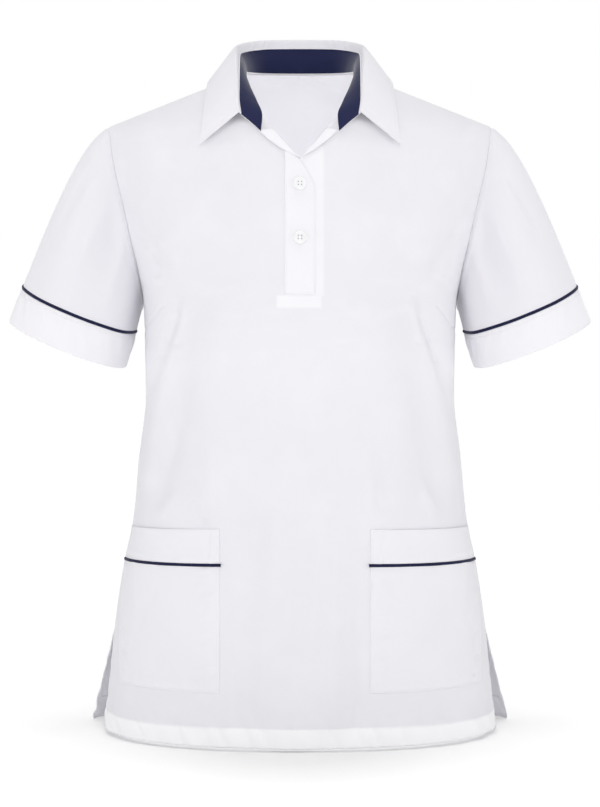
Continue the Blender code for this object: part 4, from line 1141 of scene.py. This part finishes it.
# A soft crease on a pocket: its share outwards and height up, its lean, half width, half length, height.
PocketCrease = namedtuple("PocketCrease", "outward height_up lean half_width length height")
POCKET_CREASES = (
    PocketCrease(0.30, 0.060, 0.75, 0.0070, 0.030, 0.0010),
    PocketCrease(0.55, 0.085, -0.55, 0.0060, 0.026, -0.0010),
    PocketCrease(0.72, 0.100, 0.20, 0.0060, 0.030, 0.0011),
    PocketCrease(0.88, 0.045, -0.30, 0.0050, 0.030, -0.0009),
    PocketCrease(0.42, 0.120, 0.10, 0.0080, 0.022, -0.0008),
)
METRES_PER_ROW = 0.057
POCKET_EDGE_LINES = EDGE_DISTANCES + (0.0034, 0.0045, 0.0060, 0.0070, 0.0078, 0.0086)
PIPING_SIDE_LINES = (0.0008, 0.0016, 0.0024, 0.0032)
PIPING_TUCK_ROWS = 0.02
# Reach and fade of the painted highlight along the piping.
PIPING_HIGHLIGHT_REACH = 0.0024
PIPING_HIGHLIGHT_FADE = 0.0008
pocket_shares = spaced(POCKET_WIDTH, 0.0026, POCKET_EDGE_LINES, POCKET_EDGE_LINES)



def pucker_waves(kind, along, shift, distance):
    return kind.height * puckers(along, shift) * near(distance - kind.distance, kind.width)


def piping_painted_highlight(t, piping_line):
    """Painted highlight: 1 on the cloth beside the piping, drawn whiter in place of the light caught where
    the cloth turns over the piping, fading to 0 away from it.
    """
    return smooth_step((PIPING_HIGHLIGHT_REACH - np.abs(t - piping_line) * METRES_PER_ROW) / PIPING_HIGHLIGHT_FADE)


def add_pocket(name, side):
    inner_x = POCKET_INNER_X[name]
    bottom = front.line_of(inner_x, POCKET_BOTTOM_Z)
    top = front.line_of(inner_x, POCKET_TOP_Z)
    piping_low = front.line_of(inner_x, POCKET_PIPING_Z - PIPING_WIDTH / 2.0)
    piping_high = front.line_of(inner_x, POCKET_PIPING_Z + PIPING_WIDTH / 2.0)

    def edges(t, reach=0.0):
        up = (t - bottom) / (top - bottom)
        inner = front.share(np.full(len(t), inner_x - reach), t)
        outer = POCKET_OUTER_SHARES[0] + (POCKET_OUTER_SHARES[1] - POCKET_OUTER_SHARES[0]) * up
        outer = outer + reach / PANEL_REACH
        return (inner, outer) if side > 0 else (-outer, -inner)

    def outward(across):
        return across if side > 0 else 1.0 - across

    def from_side(across):
        return np.minimum(across, 1.0 - across) * POCKET_WIDTH

    def drop(across, t):
        return POCKET_OUTER_DROP * outward(across) * (t - bottom) / (top - bottom)

    def pocket_lift(across, t):
        from_bottom = (t - bottom) * METRES_PER_ROW
        inward = from_side(across)
        full = POCKET_FULLNESS * np.sin(math.pi * across) * np.clip(from_bottom / 0.12, 0.0, 1.0) ** 0.7
        waves = pucker_waves(SIDE_PUCKERS, from_bottom + 0.3 * inward, 1.0 + across.round(), inward)
        along = across * POCKET_WIDTH + 0.3 * from_bottom
        waves += pucker_waves(BOTTOM_PUCKERS, along, 2.0 * side, from_bottom)
        for crease in POCKET_CREASES:
            turned = (outward(across) - crease.outward) * POCKET_WIDTH
            turned = turned - crease.lean * (from_bottom - crease.height_up)
            length = near(from_bottom - crease.height_up, crease.length)
            waves += crease.height * near(turned, crease.half_width) * length
        return POCKET_LIFT + full + waves + sewn_edge(inward) + sewn_edge(from_bottom)

    # Tones: doubled cloth on the pocket, its turned edges and the band, and a painted highlight beside the
    # piping.
    def pocket_layers(across, t):
        from_edge = np.minimum(from_side(across), (t - bottom) * METRES_PER_ROW)
        turned = smooth_step((POCKET_TURN - from_edge) / POCKET_TURN_FADE)
        return POCKET_TONE + TURNED_TONE * turned + PIPING_HIGHLIGHT_TONE * piping_painted_highlight(t, piping_low)

    def band_layers(across, t):
        return BAND_TONE + (1.0 - BAND_TONE) * piping_painted_highlight(t, piping_high)

    def band_lift(across, t):
        from_top = (top - t) * METRES_PER_ROW
        out = outward(across) * POCKET_WIDTH
        seams = near(out - BAND_STITCH_IN, BAND_GROOVE_WIDTH)
        seams += near(POCKET_WIDTH - BAND_STITCH_OUT - out, BAND_GROOVE_WIDTH)
        waves = pucker_waves(POCKET_BAND_PUCKERS, out + from_top, 3.0 * side, from_top)
        full = BAND_LIFT + BAND_FULLNESS * np.sin(math.pi * across)
        rolled = BAND_EDGE_ROLL * np.exp(-from_top / MOUTH_ROLL_WIDTH)
        return POCKET_LIFT + full + sewn_edge(from_side(across)) - rolled - BAND_STITCH_DEPTH * seams + waves

    height = (piping_low - bottom) * METRES_PER_ROW
    shares = spaced(height, 0.0028, EDGE_DISTANCES + (0.0045, 0.007), PIPING_SIDE_LINES)
    lines = bottom + (piping_low + PIPING_TUCK_ROWS - bottom) * shares
    pocket = patch("pocket_cloth_" + name, "pocket_" + name, edges, lines, pocket_shares, pocket_lift,
                   POCKET_CLOTH, pocket_layers, (POCKET_WIDTH, height), drop)
    height = (top - piping_high) * METRES_PER_ROW
    shares = spaced(height, 0.0042, PIPING_SIDE_LINES, EDGE_DISTANCES)
    lines = piping_high - PIPING_TUCK_ROWS + (top - piping_high + PIPING_TUCK_ROWS) * shares
    band = patch("pocket_band_cloth_" + name, "pocket_band_" + name, edges, lines, pocket_shares, band_lift,
                 PLACKET_CLOTH, band_layers, (POCKET_WIDTH, height), drop)

    # Pocket piping: the same navy strip, caught in the seam under the band, cut off at the pocket's sides.
    first, last = edges(np.full(1, (piping_low + piping_high) / 2.0), PIPING_SIDE_REACH)
    s = first + (last - first) * pocket_shares
    grid = []
    for share, rise in zip(*piping_profile()):
        t = np.full(len(pocket_shares), piping_low + (piping_high - piping_low) * share)
        seam = band_lift(pocket_shares, t) - sewn_edge(from_side(pocket_shares))
        grid.append(front.surface(s, t - drop(pocket_shares, t), seam + rise, dip=False))
    grids = [(np.array(grid), (0.118, 0.006), None)]
    piping = cloth_piece("pocket_piping_cloth_" + name, grids, PIPING_CLOTH, -1.0, navy_piping_cloth)
    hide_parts("pocket_piping_" + name)

    low = bottom + EDGE_STITCH / METRES_PER_ROW
    edge_share = EDGE_STITCH / POCKET_WIDTH
    band_rise = np.linspace(piping_high, top - 0.02, 20)
    rows = [row_on(edges, np.linspace(edge_share, 1.0 - edge_share, 60), low, pocket_lift, drop)]
    for share in (edge_share, 1.0 - edge_share):
        rows.append(row_on(edges, share, np.linspace(low, piping_low, 60), pocket_lift, drop))
        rows.append(row_on(edges, share, band_rise, band_lift, drop))
    for share in (BAND_STITCH_IN / POCKET_WIDTH, 1.0 - BAND_STITCH_OUT / POCKET_WIDTH):
        rows.append(row_on(edges, outward(share), band_rise, band_lift, drop))
    sew("pocket_thread_" + name, rows)


add_pocket("left", 1.0)
add_pocket("right", -1.0)

# Buttons. Four-hole shirt buttons of white polyester resin, 14 mm across, turned with a raised rim and a
# dished middle, sewn on the placket with two parallel bars of thread.
BUTTON_HEIGHTS = (-0.1055, -0.1613)
BUTTON_OUTLINE = ((0.0, 0.0), (0.0058, 0.0), (0.0068, 0.0004), (0.0071, 0.0011), (0.0070, 0.0019),
                  (0.0066, 0.0024), (0.0060, 0.0026), (0.0054, 0.0025), (0.0048, 0.0022), (0.0, 0.0021))
BUTTON_LIFT = PLACKET_LIFT + 0.0008
BUTTON_HOLE_RADIUS = 0.00064
BUTTON_HOLE_SPREAD = 0.0017
BUTTON_HOLES = [(x, y) for x in (-BUTTON_HOLE_SPREAD, BUTTON_HOLE_SPREAD)
                for y in (-BUTTON_HOLE_SPREAD, BUTTON_HOLE_SPREAD)]
BUTTON_HOLE_SHADE_HEIGHT = 0.0009
BUTTON_HOLE_SHADE = 0.0006
BUTTON_THREAD_HEIGHT = 0.0023
BUTTON_THREAD_SHORT = 0.0009
BUTTON_THREAD_RADIUS = 0.00028
BUTTONHOLE_HALF_LENGTH = 0.0088
BUTTONHOLE_HALF_WIDTH = 0.0013
BUTTONHOLE_BARS = 33
BUTTONHOLE_BAR_RADIUS = 0.00032
BUTTONHOLE_SLIT = 0.0004
BUTTONHOLE_DEPTH = 0.0007
button_resin, tree, shader = new_material("white_polyester_resin", 0.35, "F3F3F4")
shader.inputs["IOR"].default_value = 1.53

# Painted shade: a dark grey sheet laid in the cut of each worked buttonhole and at the foot of each button
# hole, standing in for the deep shade there.
slit_shade = new_material("painted_buttonhole_shade", 0.95, "4A4A52")[0]

for number, z in enumerate(BUTTON_HEIGHTS, start=1):
    t = np.array([front.line_of(0.0, z)])
    seat = Vector(front.surface(np.zeros(1), t, BUTTON_LIFT, dip=False)[0])
    normal = Vector(front.normal(np.zeros(1), t)[0])
    place = Matrix.Translation(seat) @ normal.to_track_quat("Z", "Y").to_matrix().to_4x4()
    bm = bmesh.new()
    outline = [bm.verts.new((x, 0.0, y)) for x, y in BUTTON_OUTLINE]
    for first, last in zip(outline, outline[1:]):
        bm.edges.new((first, last))
    bmesh.ops.spin(bm, geom=bm.verts[:] + bm.edges[:], cent=(0, 0, 0), axis=(0, 0, 1), angle=2.0 * math.pi,
                   steps=56, use_merge=True)
    bmesh.ops.remove_doubles(bm, verts=bm.verts, dist=WELD_DISTANCE)
    bmesh.ops.recalc_face_normals(bm, faces=bm.faces)
    blank = new_object("button_blank", bm)
    bm = bmesh.new()
    for x, y in BUTTON_HOLES:
        bmesh.ops.create_cone(bm, cap_ends=True, segments=16, radius1=BUTTON_HOLE_RADIUS,
                              radius2=BUTTON_HOLE_RADIUS, depth=0.01, matrix=Matrix.Translation((x, y, 0)))
    drill = new_object("button_drill", bm)
    cut = blank.modifiers.new("holes", "BOOLEAN")
    cut.operation = "DIFFERENCE"
    cut.object = drill
    bpy.context.view_layer.update()
    cut_mesh = bpy.data.meshes.new_from_object(blank.evaluated_get(bpy.context.evaluated_depsgraph_get()))
    bpy.data.objects.remove(blank)
    bpy.data.objects.remove(drill)
    cut_mesh.transform(place)
    cut_mesh.shade_smooth()
    cut_mesh.set_sharp_from_angle(angle=math.radians(35.0))
    cut_mesh.materials.clear()
    cut_mesh.materials.append(button_resin)
    button = bpy.data.objects.new("button_resin_" + str(number), cut_mesh)
    bpy.context.scene.collection.objects.link(button)
    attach(button, "root")
    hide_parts("button_" + str(number))

    # Its thread, and the worked buttonhole under it: a slit edged with close bars of thread.
    bm = bmesh.new()
    upright = Vector(front.surface(np.zeros(1), t + 0.05, PLACKET_LIFT, dip=False)[0]) - seat
    upright = (upright - normal * upright.dot(normal)).normalized()
    sideways = normal.cross(upright)
    reach = upright * (BUTTON_HOLE_SPREAD - BUTTON_THREAD_SHORT)
    for x in (-BUTTON_HOLE_SPREAD, BUTTON_HOLE_SPREAD):
        middle = seat + sideways * x + normal * BUTTON_THREAD_HEIGHT
        thread_bar(bm, middle - reach, middle + reach, normal, BUTTON_THREAD_RADIUS)
    cloth_top = seat - normal * BUTTONHOLE_DEPTH
    for k in range(BUTTONHOLE_BARS):
        along = cloth_top + upright * (2.0 * k / (BUTTONHOLE_BARS - 1) - 1.0) * BUTTONHOLE_HALF_LENGTH
        inner = BUTTONHOLE_SLIT if 1 < k < BUTTONHOLE_BARS - 2 else -BUTTONHOLE_HALF_WIDTH
        for side in (-1.0, 1.0):
            thread_bar(bm, along + sideways * side * inner, along + sideways * side * BUTTONHOLE_HALF_WIDTH,
                       normal, BUTTONHOLE_BAR_RADIUS)
    add_thread("button_thread_" + str(number), bm)
    # Painted shade: a dark sliver in the buttonhole's slit and a dark disc at the foot of each button hole.
    bm = bmesh.new()
    reach = upright * (BUTTONHOLE_HALF_LENGTH - 0.0006)
    thread_bar(bm, cloth_top - reach, cloth_top + reach, normal, BUTTONHOLE_SLIT)
    half = upright * BUTTON_HOLE_SHADE
    for x, y in BUTTON_HOLES:
        foot = seat + sideways * x + upright * y + normal * BUTTON_HOLE_SHADE_HEIGHT
        thread_bar(bm, foot - half, foot + half, normal, BUTTON_HOLE_SHADE)
    add_thread("buttonhole_painted_shade_" + str(number), bm, slit_shade, smooth=False)

# Floor, light and camera. A plain pale floor just under the hem, a bright even room and soft lights in
# front, at both sides, overhead and inside the neck. The camera looks down by 4.5 degrees from 3 m.
FLOOR_Z = -0.7006
FLOOR_RADIUS = 30.0
bm = bmesh.new()
bmesh.ops.create_circle(bm, cap_ends=True, segments=96, radius=FLOOR_RADIUS,
                        matrix=Matrix.Translation((0, 0, FLOOR_Z)))
floor_paint, tree, shader = new_material("white_studio_paint", 0.9)
shader.inputs["Base Color"].default_value = (0.88, 0.88, 0.88, 1.0)
shader.inputs["Specular IOR Level"].default_value = 0.0
shader.inputs["Emission Color"].default_value = (1.0, 1.0, 1.0, 1.0)
floor = new_object("floor", bm, floor_paint)

# The floor glows evenly in place of a far white room, and the glow is less where the lamps light the floor.
# Its soft shadow in front of the hem is a painted shadow: a soft patch of lower glow. Inside the hem's
# outline the glow is raised again, a painted light on the floor under the tunic.
LAMPS_MIDDLE = (0.0, -0.4, FLOOR_Z)
LAMPS_REACH = 1.6
HEM_HALF_WIDTH = 0.2145
HEM_HALF_DEPTH = 0.1370
HEM_SQUARENESS = 2.3
INNER_RING = 0.86
SHADOW_HALF_WIDTH = 0.17
SHADOW_FADE = 5.5
FAR_GLOW, LAMP_SHARE, SHADOW_SHARE, INNER_GLOW = 0.31, 0.08, 0.28, 0.44
sums = functools.partial(calculate, tree)
place = add_node(tree, "ShaderNodeTexCoord").outputs["Object"]
axes = add_node(tree, "ShaderNodeSeparateXYZ", {0: place}).outputs


def beside(axis, width, power):
    """The distance from the middle along an axis, as a share of a width, to a power."""
    return sums("POWER", sums("ABSOLUTE", sums("DIVIDE", axes[axis], width)), power)


away = add_node(tree, "ShaderNodeVectorMath", {0: place, 1: LAMPS_MIDDLE}, operation="DISTANCE")
lamps = sums("ADD", sums("POWER", sums("DIVIDE", away.outputs["Value"], LAMPS_REACH), 2.0), 1.0)
outside = sums("ADD", beside("X", HEM_HALF_WIDTH, HEM_SQUARENESS),
               beside("Y", HEM_HALF_DEPTH, HEM_SQUARENESS))
fade = sums("EXPONENT", sums("DIVIDE", sums("SUBTRACT", 1.0, outside), SHADOW_FADE))
middle = sums("EXPONENT", sums("MULTIPLY", beside("X", SHADOW_HALF_WIDTH, 2.0), -1.0))
shadow = sums("MULTIPLY", sums("MULTIPLY", fade, middle), SHADOW_SHARE)
glow = sums("SUBTRACT", sums("SUBTRACT", FAR_GLOW, sums("DIVIDE", LAMP_SHARE, lamps)), shadow)
# Painted light: under the hem the floor glows more, lifting the shade in the tunic's footprint.
under = add_node(tree, "ShaderNodeMapRange", {"Value": outside, "From Min": INNER_RING, "From Max": 1.0,
                                              "To Min": INNER_GLOW, "To Max": 0.0}).outputs[0]
tree.links.new(sums("MAXIMUM", sums("MAXIMUM", glow, 0.0), under), shader.inputs["Emission Strength"])

ROOM_LIGHT = 0.44
world = bpy.data.worlds.new("studio")
bpy.context.scene.world = world
world.use_nodes = True
tree = world.node_tree
background = tree.nodes["Background"]
background.inputs["Color"].default_value = (1.0, 1.0, 1.0, 1.0)
background.inputs["Strength"].default_value = ROOM_LIGHT
seen = add_node(tree, "ShaderNodeBackground", {"Color": (1.0, 1.0, 1.0, 1.0), "Strength": 1.0})
path = add_node(tree, "ShaderNodeLightPath")
shown = add_node(tree, "ShaderNodeMixShader", {0: path.outputs["Is Camera Ray"], 1: background.outputs[0],
                                               2: seen.outputs[0]})
tree.links.new(shown.outputs[0], tree.nodes["World Output"].inputs["Surface"])


def add_lamp(name, kind, place, direction, power, colour):
    lamp = bpy.data.lights.new(name, kind)
    lamp.energy = power
    lamp.color = colour
    made = bpy.data.objects.new(name, lamp)
    bpy.context.scene.collection.objects.link(made)
    made.location = place
    made.rotation_euler = Vector(direction).to_track_quat("-Z", "Y").to_euler()
    return lamp


Lamp = namedtuple("Lamp", "name place aim size power colour")
WHITE = (1.0, 1.0, 1.0)
LAMPS = (
    Lamp("front", (0.0, -2.6, 1.9), (0.0, 0.0, -0.3), 1.2, 14.5, WHITE),
    Lamp("low", (0.0, -2.8, -0.3), (0.0, 0.0, -0.6), 0.8, 5.0, WHITE),
    Lamp("left", (-2.5, -1.4, 0.5), (0.0, 0.0, -0.3), 1.0, 9.6, WHITE),
    Lamp("right", (2.5, -1.4, 0.5), (0.0, 0.0, -0.3), 1.0, 9.8, WHITE),
    Lamp("inside", (0.0, -0.035, -0.235), (0.0, 0.12, -0.02), 0.12, 0.26, (1.0, 0.996, 0.965)),
)
for row in LAMPS:
    lamp = add_lamp(row.name, "AREA", row.place, Vector(row.aim) - Vector(row.place), row.power, row.colour)
    lamp.shape = "DISK"
    lamp.size = row.size

# A soft overhead light a little behind the tunic, whose shadow falls just in front of the hem.
OVERHEAD_DIRECTION = (0.0, -0.07, -1.0)
OVERHEAD_POWER = 1.09
overhead = add_lamp("overhead", "SUN", (0.0, 0.0, 0.0), OVERHEAD_DIRECTION, OVERHEAD_POWER, WHITE)
overhead.angle = math.radians(40.0)

LOOK_AT = Vector((0.0, 0.0, -0.344))
CAMERA_DISTANCE = 3.0
CAMERA_PITCH = math.radians(4.5)
SENSOR_WIDTH = 36.0
FOCAL_LENGTH = 122.8
camera_data = bpy.data.cameras.new("camera")
camera_data.sensor_width = SENSOR_WIDTH
camera_data.lens = FOCAL_LENGTH
camera = bpy.data.objects.new("camera", camera_data)
bpy.context.scene.collection.objects.link(camera)
forward = Vector((0.0, math.cos(CAMERA_PITCH), -math.sin(CAMERA_PITCH)))
camera.location = LOOK_AT - forward * CAMERA_DISTANCE
camera.rotation_euler = forward.to_track_quat("-Z", "Y").to_euler()
bpy.context.scene.camera = camera
bpy.context.scene.view_settings.view_transform = "Standard"
